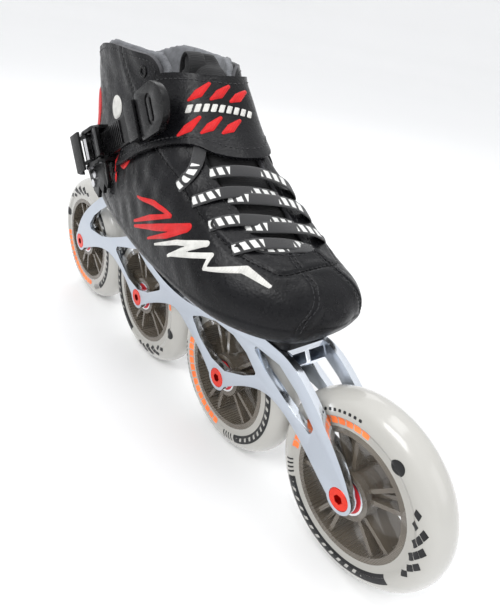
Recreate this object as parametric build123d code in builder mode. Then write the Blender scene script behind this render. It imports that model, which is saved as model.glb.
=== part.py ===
"""Right-foot inline speed skate with four wheels, a leather boot and a ratchet strap.

Frame of the model, in millimetres: +X points to the toe, +Y to the inner (medial)
side of the foot, +Z up. The origin is on the ground, midway between the first and
the last axle, on the centre plane of the wheels.
"""
import os
from math import cos, pi, radians, sin

from build123d import *

os.makedirs("parts", exist_ok=True)

# ---------------------------------------------------------------- driving sizes
WHEEL_R = 55.0
AXLE_PITCH = 111.8
WHEEL_X = [1.5 * AXLE_PITCH, 0.5 * AXLE_PITCH, -0.5 * AXLE_PITCH, -1.5 * AXLE_PITCH]

TYRE_HALF_WIDTH = 12.0
CORE_R = 37.0
CORE_HALF_WIDTH = 11.0
CORE_RIM = 3.4
BOSS_R = 14.0
SPOKES = 5
SPOKE_HALF_ANGLE = 12.5
SPOKE_RIB = 2.4
SPOKE_RIBS = [(-1, 9.5), (0, 6.0), (1, 9.5)]
SPOKE_WEB_HALF = 3.0
FIRST_SPOKE = 37.0
HUB_BORE_R = 9.5

BEARING_OD = 22.0
BEARING_ID = 8.0
BEARING_W = 7.0
BALL_D = 3.969
BALLS = 7
BALL_PITCH_R = 7.75
RACE_CLEARANCE = 0.06
SPACER_L = 10.2
BEARING_FACE = SPACER_L / 2 + BEARING_W

AXLE_D = 7.96
AXLE_HEAD_D = 13.0
AXLE_HEAD_T = 2.8
HEX_AF = 5.0

WALL_OUT = 18.0
WALL_T = 4.5
WALL_IN = WALL_OUT - WALL_T
AXLE_BOSS_R = 8.6
FRONT_TOP = 107.5
REAR_TOP = 116.5
FRONT_MOUNT_X = 93.0
REAR_MOUNT_X = FRONT_MOUNT_X - 195.0
PLATE_T = 2.6
BOLT_D = 6.0
BOLT_HEAD_D = 10.0
BOLT_HEAD_T = 3.0

LEATHER_T = 3.4
SOFT_GAP = 0.4

# Stations of the boot, toe first: bottom (x, z), top (x, z), lateral half width,
# medial half width, height fraction of the widest point, roundness below it and
# roundness above it.
STATIONS = [
    ((119.0, 122.0), (120.0, 136.0), 10.0, 18.0, 0.50, 2.2, 2.2),
    ((112.0, 115.0), (115.0, 145.0), 24.0, 31.0, 0.40, 2.6, 2.3),
    ((96.0, 112.0), (101.0, 152.5), 36.0, 39.0, 0.34, 2.9, 2.2),
    ((72.0, 112.5), (81.0, 160.0), 46.0, 42.0, 0.30, 3.1, 2.2),
    ((40.0, 113.5), (60.0, 174.0), 49.0, 42.0, 0.26, 3.2, 2.2),
    ((0.0, 113.0), (38.0, 190.0), 48.0, 38.0, 0.24, 3.2, 2.2),
    ((-45.0, 115.5), (20.0, 205.0), 45.0, 36.0, 0.24, 3.1, 2.4),
    ((-95.0, 119.5), (9.0, 218.0), 39.0, 35.0, 0.27, 2.7, 2.6),
    ((-123.0, 133.0), (2.0, 226.0), 35.0, 33.0, 0.34, 2.4, 2.7),
    ((-131.0, 158.0), (-2.0, 231.0), 32.0, 32.0, 0.42, 2.3, 2.8),
    ((-131.0, 192.0), (-5.0, 234.0), 31.0, 31.0, 0.48, 2.3, 2.8),
    ((-129.0, 222.0), (-8.0, 236.0), 33.0, 32.0, 0.50, 2.3, 2.8),
]
CUFF_RISE = 14.0

# Ratchet strap: a line on the outer side of the ankle, sloping down to the heel.
STRAP_SLOPE = 31.0
STRAP_POINT = (-76.0, 165.0)
LADDER_W = 17.0
LADDER_INNER = 39.6
LADDER_T = 2.0
RIDGE_T = 1.0


# ---------------------------------------------------------------- helpers
def save(part, name):
    part.label = name
    export_step(part, f"parts/{name}.step")


def axle_plane(x):
    """Plane through an axle: local x along the axle, local y outwards."""
    return Plane(origin=(x, 0, WHEEL_R), x_dir=(0, 1, 0), z_dir=(1, 0, 0))


def axle_axis(x):
    return Axis((x, 0, WHEEL_R), (0, 1, 0))


def side_plane(x, y):
    """Plane facing the inner side of the foot, centred on an axle."""
    return Plane(origin=(x, y, WHEEL_R), x_dir=(-1, 0, 0), z_dir=(0, 1, 0))


def half_outline(station, grow, side):
    """One side of a station from bottom to top, grown outwards by grow."""
    (bx, bz), (tx, tz), lateral, medial, waist, low, high = station
    height = ((tx - bx) ** 2 + (tz - bz) ** 2) ** 0.5
    width = (lateral if side < 0 else medial) + grow
    steps = 9
    points = [(0, -grow)]
    for i in range(1, steps):
        v = 0.5 - 0.5 * cos(pi * i / steps)
        if v < waist:
            fullness = (1 - (1 - v / waist) ** low) ** (1 / low)
        else:
            fullness = (1 - ((v - waist) / (1 - waist)) ** high) ** (1 / high)
        points.append((side * width * fullness, -grow + v * (height + 2 * grow)))
    points.append((0, height + grow))
    return points


def station_plane(station):
    (bx, bz), (tx, tz) = station[0], station[1]
    return Plane(origin=(bx, 0, bz), x_dir=(0, 1, 0), z_dir=(tz - bz, 0, bx - tx))


def raised(station, rise):
    """The last station moved up, to carry a surface past the top of the cuff."""
    (bx, bz), (tx, tz) = station[0], station[1]
    return ((bx, bz + rise), (tx - 2, tz + rise)) + tuple(station[2:])


def half_skin(grow, side, first=0, rise=CUFF_RISE):
    """One side of the solid bounded by the boot's outer surface grown by grow."""
    with BuildPart() as body:
        for station in STATIONS[first:] + [raised(STATIONS[-1], rise)]:
            with BuildSketch(station_plane(station)):
                with BuildLine():
                    side_line = Spline(*half_outline(station, grow, side))
                    Line(side_line @ 1, side_line @ 0)
                make_face()
        loft()
    return body.part


def layer(outside, inside, side, first=0, first_inside=1):
    """One side of a skin that lies between two growths of the boot's surface."""
    return half_skin(outside, side, first) - half_skin(inside, side, first_inside, CUFF_RISE + 6)


def side_prism(points, y_low=-80.0, y_high=80.0):
    """Prism across the skate from an outline of (x, z) points."""
    with BuildPart() as prism:
        with BuildSketch(Plane.XZ.offset(-y_high)):
            with BuildLine():
                Polyline(*points, close=True)
            make_face()
        extrude(amount=y_high - y_low)
    return prism.part


def plan_prism(points, z_low=90.0, z_high=280.0):
    """Upright prism from an outline of (x, y) points."""
    with BuildPart() as prism:
        with BuildSketch(Plane.XY.offset(z_low)):
            with BuildLine():
                Polyline(*points, close=True)
            make_face()
        extrude(amount=z_high - z_low)
    return prism.part


# ---------------------------------------------------------------- wheels
def make_tyre(x, name):
    centre_r = WHEEL_R - TYRE_HALF_WIDTH
    with BuildPart() as tyre:
        with BuildSketch(axle_plane(x)):
            with BuildLine():
                edge = (CORE_HALF_WIDTH, centre_r - 2)
                far_edge = (-CORE_HALF_WIDTH, centre_r - 2)
                Polyline(far_edge, (-CORE_HALF_WIDTH, CORE_R), (CORE_HALF_WIDTH, CORE_R), edge)
                Line(edge, (TYRE_HALF_WIDTH, centre_r))
                ThreePointArc((TYRE_HALF_WIDTH, centre_r), (0, WHEEL_R), (-TYRE_HALF_WIDTH, centre_r))
                Line((-TYRE_HALF_WIDTH, centre_r), far_edge)
            make_face()
        revolve(axis=axle_axis(x))
    save(tyre.part, name)


def make_hub(x, name):
    rim_in = CORE_R - CORE_RIM
    with BuildPart() as hub:
        with BuildSketch(axle_plane(x)):
            with Locations((0, CORE_R - CORE_RIM / 2)):
                Rectangle(2 * CORE_HALF_WIDTH, CORE_RIM)
            with Locations((0, (BOSS_R + HUB_BORE_R) / 2)):
                Rectangle(24.0, BOSS_R - HUB_BORE_R)
        revolve(axis=axle_axis(x))
        for i in range(SPOKES):
            turn = FIRST_SPOKE + 360.0 / SPOKES * i
            web_out = [
                (rim_in + 1, turn - SPOKE_HALF_ANGLE),
                (rim_in + 1, turn + SPOKE_HALF_ANGLE),
                (BOSS_R - 1, turn + SPOKE_HALF_ANGLE - 1),
                (BOSS_R - 1, turn - SPOKE_HALF_ANGLE + 1),
            ]
            corners = [(-r * cos(radians(a)), r * sin(radians(a))) for r, a in web_out]
            with BuildSketch(side_plane(x, 0)):
                with BuildLine():
                    Polyline(*corners, close=True)
                make_face()
            extrude(amount=SPOKE_WEB_HALF, both=True)
            for edge, half_depth in SPOKE_RIBS:
                angle = 180 - turn - edge * (SPOKE_HALF_ANGLE - 2.2)
                middle = (BOSS_R + rim_in) / 2
                centre = (middle * cos(radians(angle)), middle * sin(radians(angle)), 0)
                with BuildSketch(side_plane(x, 0)):
                    with Locations(Location(centre, angle)):
                        Rectangle(rim_in - BOSS_R + 2, SPOKE_RIB)
                extrude(amount=half_depth, both=True)
        with BuildSketch(axle_plane(x)):
            for side in (-1, 1):
                with Locations((side * (SPACER_L / 2 + 4.5), BEARING_OD / 4)):
                    Rectangle(9.0, BEARING_OD / 2)
            with Locations((0, HUB_BORE_R / 2)):
                Rectangle(30.0, HUB_BORE_R)
        revolve(axis=axle_axis(x), mode=Mode.SUBTRACT)
    save(hub.part, name)


def bearing_centres():
    return [side * (SPACER_L + BEARING_W) / 2 for side in (-1, 1)]


def make_bearing_rings(x, name, low_r, high_r, lip_r, lip_high):
    """Two rings, one per bearing, each with a ball groove and shield steps."""
    groove = BALL_D / 2 + RACE_CLEARANCE
    with BuildPart() as rings:
        with BuildSketch(axle_plane(x)):
            for centre in bearing_centres():
                with Locations((centre, (low_r + high_r) / 2)):
                    Rectangle(BEARING_W, high_r - low_r)
                with Locations((centre, BALL_PITCH_R)):
                    Circle(groove, mode=Mode.SUBTRACT)
                if lip_high:
                    for side in (-1, 1):
                        with Locations((centre + side * 3.35, lip_r / 2)):
                            Rectangle(0.7, lip_r, mode=Mode.SUBTRACT)
        revolve(axis=axle_axis(x))
    save(rings.part, name)


def make_shields(x, name):
    with BuildPart() as shields:
        with BuildSketch(axle_plane(x)):
            for centre in bearing_centres():
                for side in (-1, 1):
                    with Locations((centre + side * 3.2, (6.5 + 9.85) / 2)):
                        Rectangle(0.36, 9.85 - 6.5)
        revolve(axis=axle_axis(x))
    save(shields.part, name)


def make_balls(x, name):
    """Seven balls and a crown cage in each bearing."""
    with BuildPart() as balls:
        for centre in bearing_centres():
            with BuildSketch(axle_plane(x)):
                with Locations((centre + 1.15, BALL_PITCH_R)):
                    Rectangle(2.9, 0.9)
            revolve(axis=axle_axis(x))
            ring = side_plane(x, centre)
            with Locations(ring):
                with PolarLocations(BALL_PITCH_R, BALLS):
                    Sphere(BALL_D / 2 + 0.05, mode=Mode.SUBTRACT)
        for centre in bearing_centres():
            ring = side_plane(x, centre)
            with Locations(ring):
                with PolarLocations(BALL_PITCH_R, BALLS):
                    Sphere(BALL_D / 2)
    save(balls.part, name)


def make_spacer(x, name):
    with BuildPart() as spacer:
        with BuildSketch(side_plane(x, -SPACER_L / 2)):
            Circle(5.6)
            Circle(BEARING_ID / 2 + 0.02, mode=Mode.SUBTRACT)
        extrude(amount=SPACER_L)
    save(spacer.part, name)


def make_axle(x, name):
    """Hollow-head axle bolt, its head sunk in the outer wall."""
    with BuildPart() as axle:
        with BuildSketch(side_plane(x, -WALL_OUT - 0.2)):
            Circle(AXLE_HEAD_D / 2)
        extrude(amount=AXLE_HEAD_T + 0.2)
        chamfer(axle.edges().group_by(Axis.Y)[0], 0.5)
        with BuildSketch(side_plane(x, -WALL_OUT + AXLE_HEAD_T - 0.5)):
            Circle(AXLE_D / 2)
        extrude(amount=2 * WALL_OUT - AXLE_HEAD_T + 0.5)
        chamfer(axle.edges().group_by(Axis.Y)[-1], 0.6)
        with BuildSketch(side_plane(x, -WALL_OUT - 0.2)):
            RegularPolygon(HEX_AF / 2, 6, major_radius=False)
        extrude(amount=6.0, mode=Mode.SUBTRACT)
    save(axle.part, name)


for number, wheel_x in enumerate(WHEEL_X, start=1):
    prefix = f"wheel_{number}"
    make_tyre(wheel_x, f"{prefix}_tyre")
    make_hub(wheel_x, f"{prefix}_hub")
    make_bearing_rings(wheel_x, f"{prefix}_bearing_outer", 9.35, BEARING_OD / 2, 9.9, True)
    make_bearing_rings(wheel_x, f"{prefix}_bearing_inner", BEARING_ID / 2, 6.15, 0.0, False)
    make_shields(wheel_x, f"{prefix}_bearing_shields")
    make_balls(wheel_x, f"{prefix}_bearing_balls")
    make_spacer(wheel_x, f"{prefix}_spacer")
    make_axle(wheel_x, f"{prefix}_axle")


# ---------------------------------------------------------------- frame
WINDOWS = {
    "front_arm": [
        (82, 99), (97, 90), (107, 86.5), (127, 79), (140, 75.5), (141, 81), (125, 92.5), (108, 100),
    ],
    "second_axle": [
        (21, 82), (33, 72), (48, 65.5), (63, 65), (81, 74), (92, 82), (80, 90), (66, 94), (47, 93),
        (32, 88),
    ],
    "third_axle": [
        (-94, 78.5), (-84, 72), (-70, 64.5), (-55, 62.5), (-39, 68), (-22, 79), (-23, 83.5),
        (-40, 87.5), (-58, 95), (-72, 90), (-92, 82.5),
    ],
    "rear_arm": [
        (-110, 110), (-124, 101), (-137, 91), (-146, 80), (-143, 76.5), (-121, 79),
        (-104, 85), (-86, 93), (-73, 99.5), (-81, 107), (-95, 111.5),
    ],
}
WINDOW_CORNER_R = 1.8
TYRE_CLEARANCE = 1.2
BLOCK_SLOPE = [(106.5, 108.5), (125, 108.5), (125, 90), (119, 90)]


def wall_outline(plane):
    """Side wall outline: two arms, two mounts and three wheel arches."""
    with BuildSketch(plane, mode=Mode.PRIVATE) as wall:
        with BuildLine():
            front = Spline((106, FRONT_TOP), (119, 105), (137, 95), (153, 83), (165, 72), (174, 61))
            tip = Line(front @ 1, (161.5, 50.5))
            arch_1 = Spline(tip @ 1, (149, 58), (124, 72), (104, 76), (87, 70), (62, 51))
            boss_2 = Line(arch_1 @ 1, (49.8, 51))
            middle = [(40, 59), (14, 72.5), (0, 76.5), (-14, 72.5), (-40, 58), (-49.8, 51)]
            arch_2 = Spline(boss_2 @ 1, *middle)
            boss_3 = Line(arch_2 @ 1, (-62, 51))
            arch_3 = Spline(boss_3 @ 1, (-77, 62), (-105, 70.5), (-128, 66), (-144, 59), (-161.5, 50.5))
            tail = Line(arch_3 @ 1, (-174, 60))
            back = Spline(tail @ 1, (-158, 85), (-139, 101), (-122, 113), (-117, REAR_TOP))
            heel = Line(back @ 1, (-86, REAR_TOP))
            dip = Spline(heel @ 1, (-60, 101.5), (-30, 91), (0, 88), (30, 92), (58, 101), (79, FRONT_TOP))
            Line(dip @ 1, front @ 0)
        make_face()
        with Locations(*[(x, WHEEL_R) for x in WHEEL_X]):
            Circle(AXLE_BOSS_R)
    return wall.sketch


def window_outline(points):
    with BuildSketch(Plane.XZ, mode=Mode.PRIVATE) as window:
        with BuildLine():
            Polyline(*points, close=True)
        make_face()
        fillet(window.vertices(), WINDOW_CORNER_R)
    return window.sketch


def mount_block(x_low, x_high, top, floor):
    """Box between the walls with two cells along X and a bolt well from below."""
    with Locations(((x_low + x_high) / 2, 0, (top + floor) / 2)):
        Box(x_high - x_low, 2 * WALL_IN + 1, top - floor)
    for side in (-1, 1):
        with Locations(((x_low + x_high) / 2, side * 7.1, (top - PLATE_T + floor + 1.8) / 2)):
            Box(x_high - x_low + 2, 11.2, top - PLATE_T - floor - 1.8, mode=Mode.SUBTRACT)


with BuildPart() as frame:
    for wall_y in (-WALL_IN, WALL_OUT):
        extrude(wall_outline(Plane.XZ.offset(-wall_y)), amount=WALL_T)
    for outline in WINDOWS.values():
        extrude(window_outline(outline), amount=60, both=True, mode=Mode.SUBTRACT)
    mount_block(82, 112, FRONT_TOP, 97.0)
    mount_block(-117, -86, REAR_TOP, 106.0)
    with Locations((0, 0, 85.5)):
        Box(9, 2 * WALL_IN + 1, 5)
    with Locations(Location((WHEEL_X[1], 0, WHEEL_R), (90, 0, 0))):
        Cylinder(WHEEL_R + TYRE_CLEARANCE, 2 * WALL_IN, mode=Mode.SUBTRACT)
    add(side_prism(BLOCK_SLOPE, -WALL_IN, WALL_IN), mode=Mode.SUBTRACT)
    for bolt_x, top in ((FRONT_MOUNT_X, FRONT_TOP), (REAR_MOUNT_X, REAR_TOP)):
        with Locations((bolt_x, 0, top - PLATE_T - 10)):
            Cylinder(6.2, 20, mode=Mode.SUBTRACT)
        with BuildSketch(Plane.XY.offset(top - PLATE_T - 1)):
            with Locations((bolt_x, 0)):
                SlotOverall(BOLT_D + 4.4, BOLT_D + 0.4, rotation=90)
        extrude(amount=PLATE_T + 2, mode=Mode.SUBTRACT)
    for wheel_x in WHEEL_X:
        for side in (-1, 1):
            with Locations(Location((wheel_x, side * (WALL_IN + BEARING_FACE) / 2, WHEEL_R), (90, 0, 0))):
                Cylinder(6.0, WALL_IN - BEARING_FACE)
        with Locations(Location((wheel_x, 0, WHEEL_R), (90, 0, 0))):
            Cylinder(AXLE_D / 2 + 0.02, 2 * WALL_OUT + 2, mode=Mode.SUBTRACT)
        with Locations(Location((wheel_x, -WALL_OUT + AXLE_HEAD_T / 2 - 1, WHEEL_R), (90, 0, 0))):
            Cylinder(AXLE_HEAD_D / 2 + 0.1, AXLE_HEAD_T + 2, mode=Mode.SUBTRACT)
save(frame.part, "frame")


# ---------------------------------------------------------------- frame fastening
def two_mounts():
    return ((FRONT_MOUNT_X, FRONT_TOP), (REAR_MOUNT_X, REAR_TOP))


INSERT_R = 5.5
HEX_DEPTH = 2.0
FLANGE_T = 1.4
SHELL_FLOOR = {FRONT_MOUNT_X: 115.6, REAR_MOUNT_X: 124.9}

with BuildPart() as bolts:
    for bolt_x, top in two_mounts():
        under = top - PLATE_T - 1.2
        with BuildSketch(Plane.XY.offset(under - BOLT_HEAD_T)):
            with Locations((bolt_x, 0)):
                Circle(BOLT_HEAD_D / 2)
        extrude(amount=BOLT_HEAD_T)
        with BuildSketch(Plane.XY.offset(under)):
            with Locations((bolt_x, 0)):
                Circle(BOLT_D / 2 - 0.03)
        extrude(amount=13.0)
        with BuildSketch(Plane.XY.offset(under - BOLT_HEAD_T)):
            with Locations((bolt_x, 0)):
                RegularPolygon(2.5, 6, major_radius=False)
        extrude(amount=HEX_DEPTH, mode=Mode.SUBTRACT)
save(bolts.part, "mount_bolts")

with BuildPart() as washers:
    for bolt_x, top in two_mounts():
        with BuildSketch(Plane.XY.offset(top - PLATE_T - 1.2)):
            with Locations((bolt_x, 0)):
                Circle(6.0)
                Circle(BOLT_D / 2, mode=Mode.SUBTRACT)
        extrude(amount=1.2)
save(washers.part, "mount_washers")


def insert_shape(x, top, hole_r, extra=0.0):
    """Flanged sleeve that the mount bolt screws into from below."""
    floor = SHELL_FLOOR[x]
    with BuildPart() as sleeve:
        with Locations((x, 0, (top + floor) / 2)):
            Cylinder(INSERT_R + extra, floor - top)
        with Locations((x, 0, floor + FLANGE_T / 2)):
            Cylinder(INSERT_R + 2.5 + extra, FLANGE_T)
        if hole_r > 0:
            with Locations((x, 0, floor)):
                Cylinder(hole_r, 40, mode=Mode.SUBTRACT)
    return sleeve.part


save(Compound(children=[insert_shape(x, top, BOLT_D / 2) for x, top in two_mounts()]), "mount_inserts")


# ---------------------------------------------------------------- boot
SEAM_TOP = [
    (-66, 250), (-62, 232), (-59, 220), (-50, 209), (-38, 201), (-15, 188), (17, 177), (34, 169),
    (61, 159), (80, 153), (91, 151), (100, 160), (90, 260),
]
RAND_TOP = [
    (140, 60), (140, 131), (110, 127), (70, 125), (20, 126), (-40, 130), (-90, 141), (-140, 158),
    (-160, 60),
]
CUFF_TOP = [
    (-150, 216), (-132, 216), (-118, 220), (-95, 228), (-70, 231), (-40, 231), (-10, 232), (40, 236),
    (40, 300), (-150, 300),
]
THROAT = [
    (87, 6), (88, -9), (84, -16), (70, -20), (55, -23), (28, -26), (-6, -27.5), (-17, -27.5), (-17, 9),
    (10, 7), (37, 5), (53, 6), (67, 7), (81, 8),
]
SIDES = {"lateral": -1, "medial": 1}

cuff_cut = side_prism(CUFF_TOP)
rand_zone = side_prism(RAND_TOP)
facing_zone = side_prism(SEAM_TOP)
throat_cut = plan_prism(THROAT, z_low=135.0)

shell_halves = []
for side_name, side in SIDES.items():
    wall = layer(0.0, -LEATHER_T, side) - cuff_cut
    leather = wall - rand_zone - throat_cut
    save(leather - facing_zone, f"vamp_{side_name}")
    save(leather & facing_zone, f"facing_{side_name}")
    shell_halves.append(wall & rand_zone)

with BuildPart() as shell_cup:
    add(shell_halves[0])
    add(shell_halves[1])
    for pad_x, top in two_mounts():
        pad_top = SHELL_FLOOR[pad_x] - 1.0
        with BuildSketch(Plane.XY.offset(top)):
            with Locations((pad_x, 0)):
                RectangleRounded(30, 34, 5)
        extrude(amount=pad_top - top)
        add(insert_shape(pad_x, top, 0.0, extra=0.02), mode=Mode.SUBTRACT)
save(shell_cup.part, "shell_cup")


def floor_band(low, high):
    """Prism between two heights above the inside of the shell's floor."""
    line = [(104, 115.6), (60, 117.0), (10, 117.0), (-45, 119.2), (-92, 123.3), (-118, 131.5)]
    return side_prism([(x, z + low) for x, z in line] + [(x, z + high) for x, z in reversed(line)])


INSOLE_T = 3.0
LINING = -LEATHER_T - SOFT_GAP
INSOLE_LIFT = 2.9
insole_zone = floor_band(INSOLE_LIFT, INSOLE_LIFT + INSOLE_T)
save((half_skin(LINING, -1, 1) & insole_zone) + (half_skin(LINING, 1, 1) & insole_zone), "insole")

COLLAR_ZONE = [
    (-160, 196), (-110, 196), (-60, 205), (-20, 214), (20, 222), (40, 224), (40, 300), (-160, 300),
]
COLLAR_RISE = 3.0
COLLAR_GAP = [(60, 12), (60, -31), (-20, -31), (-20, 12)]
TONGUE_ZONE = [
    (96, 140), (80, 176), (60, 200), (40, 242), (-19.7, 242), (-19.7, 213), (-14, 205), (10, 186),
    (40, 160), (70, 146),
]
SOFT_T = 5.0
collar_zone = side_prism(COLLAR_ZONE) - side_prism([(x, z + COLLAR_RISE) for x, z in CUFF_TOP])
collar_zone -= plan_prism(COLLAR_GAP, z_low=150.0)
TONGUE_EDGES = {-1: (-24.5, -0.02), 1: (0.02, 11.5)}
collar_halves = []
tongue_halves = []
for side in SIDES.values():
    soft = layer(LINING, LINING - SOFT_T, side, first=1)
    collar_halves.append(soft & collar_zone)
    tongue_halves.append(soft & side_prism(TONGUE_ZONE, *TONGUE_EDGES[side]))
save(collar_halves[0] + collar_halves[1], "collar_padding")
save(Compound(children=tongue_halves), "tongue")

# ---------------------------------------------------------------- eyelets
EYELET_R = 3.2
EYELET_HOLE_R = 1.7
EYELETS = {
    -1: [(30, -29, 181), (44, -31, 173), (60, -30, 165), (74, -27, 158)],
    1: [(30, 18, 190), (44, 20, 180), (60, 21, 170), (74, 21, 161)],
}
eyelet_parts = []
for side, places in EYELETS.items():
    eyelet_layer = layer(0.8, 0.05, side, first_inside=0)
    for place in places:
        facing_out = Plane(origin=place, x_dir=(0.85, 0, -0.52), z_dir=(0.36, side * 0.72, 0.59))
        with BuildPart() as tube:
            with BuildSketch(facing_out.offset(-9)):
                Circle(EYELET_R)
                Circle(EYELET_HOLE_R, mode=Mode.SUBTRACT)
            extrude(amount=18)
        eyelet_parts.append(eyelet_layer & tube.part)
save(Compound(children=eyelet_parts), "eyelets")

# ---------------------------------------------------------------- laces
LACE_ROWS = [(46, 184), (60, 174), (73, 165), (85, 157.5)]
LACE_W = 7.5
LACE_T = 1.3
LACE_LIFT = 1.2
LACE_TURN = 8.0
lace_halves = []
for side in SIDES.values():
    lace_layer = layer(LACE_LIFT + LACE_T, LACE_LIFT, side, first_inside=0)
    for row_x, row_z in LACE_ROWS:
        row = Plane(origin=(row_x, -4, row_z), x_dir=(0.85, 0, -0.52), z_dir=(0.52, 0, 0.85))
        with BuildPart() as slab:
            with BuildSketch(row.offset(-20)):
                Rectangle(LACE_W, 48, rotation=LACE_TURN)
            extrude(amount=40)
        lace_halves.append(lace_layer & slab.part)
rows = [lace_halves[i] + lace_halves[i + len(LACE_ROWS)] for i in range(len(LACE_ROWS))]
save(Compound(children=rows), "laces")

# ---------------------------------------------------------------- ankle strap
STRAP_LIFT = 0.4
STRAP_T = 2.6
STRAP_ZONE = [
    (60, 190.5), (34, 190.5), (20, 194), (6, 191), (-20, 178), (-50, 160), (-72, 190), (-44, 209),
    (-30, 222), (-5, 227), (10, 226), (50, 222),
]
STRAP_LATERAL_END = [(-80, 140), (-80, 240), (-30, 240), (-30, 140)]
strap_zone = side_prism(STRAP_ZONE)
ankle_strap = Part()
for side in SIDES.values():
    ankle_strap += layer(STRAP_LIFT + STRAP_T, STRAP_LIFT, side, first_inside=0) & strap_zone
save(ankle_strap - side_prism(STRAP_LATERAL_END, -80, 0), "ankle_strap")

# ---------------------------------------------------------------- ratchet
slope = radians(STRAP_SLOPE)


def ratchet_plane(out, along=0.0, across=0.0):
    """Plane facing outwards at y = -out: local x up the strap, local y across it."""
    x = STRAP_POINT[0] + along * cos(slope) - across * sin(slope)
    z = STRAP_POINT[1] + along * sin(slope) + across * cos(slope)
    return Plane(origin=(x, -out, z), x_dir=(cos(slope), 0, sin(slope)), z_dir=(0, -1, 0))


LADDER_LOW = -20.0
LADDER_HIGH = 60.0
RIDGES = 22
RIDGE_PITCH = 2.6
D_CENTRE = 82.0
D_LENGTH = 30.0
D_WIDTH = 27.0
KEEPER_AT = 60.0

with BuildPart() as ladder:
    with BuildSketch(ratchet_plane(LADDER_INNER)):
        with Locations(((LADDER_LOW + LADDER_HIGH + 8) / 2, 0)):
            RectangleRounded(LADDER_HIGH + 8 - LADDER_LOW, LADDER_W, 3)
    extrude(amount=LADDER_T)
    with BuildSketch(ratchet_plane(LADDER_INNER + LADDER_T)):
        for ridge in range(RIDGES):
            with Locations((LADDER_LOW + 5 + RIDGE_PITCH * ridge, 0)):
                Rectangle(1.2, LADDER_W - 3)
    extrude(amount=RIDGE_T)
    with BuildSketch(ratchet_plane(LADDER_INNER - 1.0)):
        with Locations((D_CENTRE - 4, 0)):
            RectangleRounded(D_LENGTH - 8, D_WIDTH, 2)
        with Locations((D_CENTRE + 1, 0)):
            Ellipse(D_LENGTH / 2, D_WIDTH / 2)
    extrude(amount=LADDER_T + 2.2)
    with BuildSketch(ratchet_plane(LADDER_INNER + LADDER_T + 0.4)):
        with Locations((D_CENTRE, 0)):
            SlotOverall(17, 7.5, rotation=90)
            SlotOverall(13, 3.5, rotation=90, mode=Mode.SUBTRACT)
    extrude(amount=2, mode=Mode.SUBTRACT)
save(ladder.part, "ladder_strap")

with BuildPart() as keeper:
    with BuildSketch(ratchet_plane(LADDER_INNER - 0.35, KEEPER_AT)):
        RectangleRounded(12, 22, 1)
    extrude(amount=LADDER_T + 3.35)
    with BuildSketch(ratchet_plane(LADDER_INNER - 0.1, KEEPER_AT)):
        Rectangle(16, LADDER_W + 0.4)
    extrude(amount=LADDER_T + RIDGE_T + 0.3, mode=Mode.SUBTRACT)
save(keeper.part, "strap_keeper")

BUCKLE_FLOOR = 38.2
FLOOR_T = 1.2
CHEEK_GAP = 19.0
CHEEK_T = 2.2
BUCKLE_L = 32.0
PIVOT = (-2.0, 47.6)
PAWL_PIVOT = (11.0, 46.2)
PIN_R = 1.25
TAB_FLOOR = 42.6
TAB_T = 2.4
RIVETS = [(-5, -15.5), (-10, -20.5)]
RIVET_R = 1.58
RIVET_HEAD_R = 2.6


def cheek_outline():
    """Side view of a buckle cheek: along the strap against distance outwards."""
    return [(-16, BUCKLE_FLOOR), (16, BUCKLE_FLOOR), (16, 45), (13, 49), (0, 50.5), (-8, 49), (-16, 43)]


def cross_plane(across):
    """Plane across the strap: local x up the strap, local y outwards."""
    x = STRAP_POINT[0] - across * sin(slope)
    z = STRAP_POINT[1] + across * cos(slope)
    return Plane(origin=(x, 0, z), x_dir=(cos(slope), 0, sin(slope)), z_dir=(sin(slope), 0, -cos(slope)))


def cross_prism(points, low, high):
    """Prism across the strap between two distances from its middle line."""
    with BuildPart() as prism:
        with BuildSketch(cross_plane(high)):
            with BuildLine():
                Polyline(*points, close=True)
            make_face()
        extrude(amount=high - low)
    return prism.part


def cross_pin(centre, radius, length):
    with BuildPart() as pin:
        with BuildSketch(cross_plane(length / 2)):
            with Locations(centre):
                Circle(radius)
        extrude(amount=length)
    return pin.part


half_gap = CHEEK_GAP / 2
with BuildPart() as buckle_base:
    with BuildSketch(ratchet_plane(BUCKLE_FLOOR)):
        Rectangle(BUCKLE_L, CHEEK_GAP + 2 * CHEEK_T)
    extrude(amount=FLOOR_T)
    for side in (-1, 1):
        inner, out = sorted((side * half_gap, side * (half_gap + CHEEK_T)))
        add(cross_prism(cheek_outline(), inner, out))
    with BuildSketch(ratchet_plane(TAB_FLOOR)):
        with BuildLine():
            Polyline(
                (-16, -10.5), (15, -10.5), (13, -25), (9.5, -28.5), (6, -24.5), (1.5, -30), (-3, -24.5),
                (-8, -31), (-13, -25), close=True,
            )
        make_face()
    extrude(amount=TAB_T)
    for centre in (PIVOT, PAWL_PIVOT):
        add(cross_pin(centre, PIN_R + 0.03, 60), mode=Mode.SUBTRACT)
    with BuildSketch(ratchet_plane(TAB_FLOOR - 1)):
        with Locations(*RIVETS):
            Circle(RIVET_R + 0.02)
    extrude(amount=5, mode=Mode.SUBTRACT)
save(buckle_base.part, "buckle_base")

with BuildPart() as buckle_rivets:
    with BuildSketch(ratchet_plane(TAB_FLOOR - 0.8)):
        with Locations(*RIVETS):
            Circle(RIVET_R)
    extrude(amount=TAB_T + 0.8)
    with BuildSketch(ratchet_plane(TAB_FLOOR + TAB_T)):
        with Locations(*RIVETS):
            Circle(RIVET_HEAD_R)
    extrude(amount=0.9)
save(buckle_rivets.part, "buckle_rivets")

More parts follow.
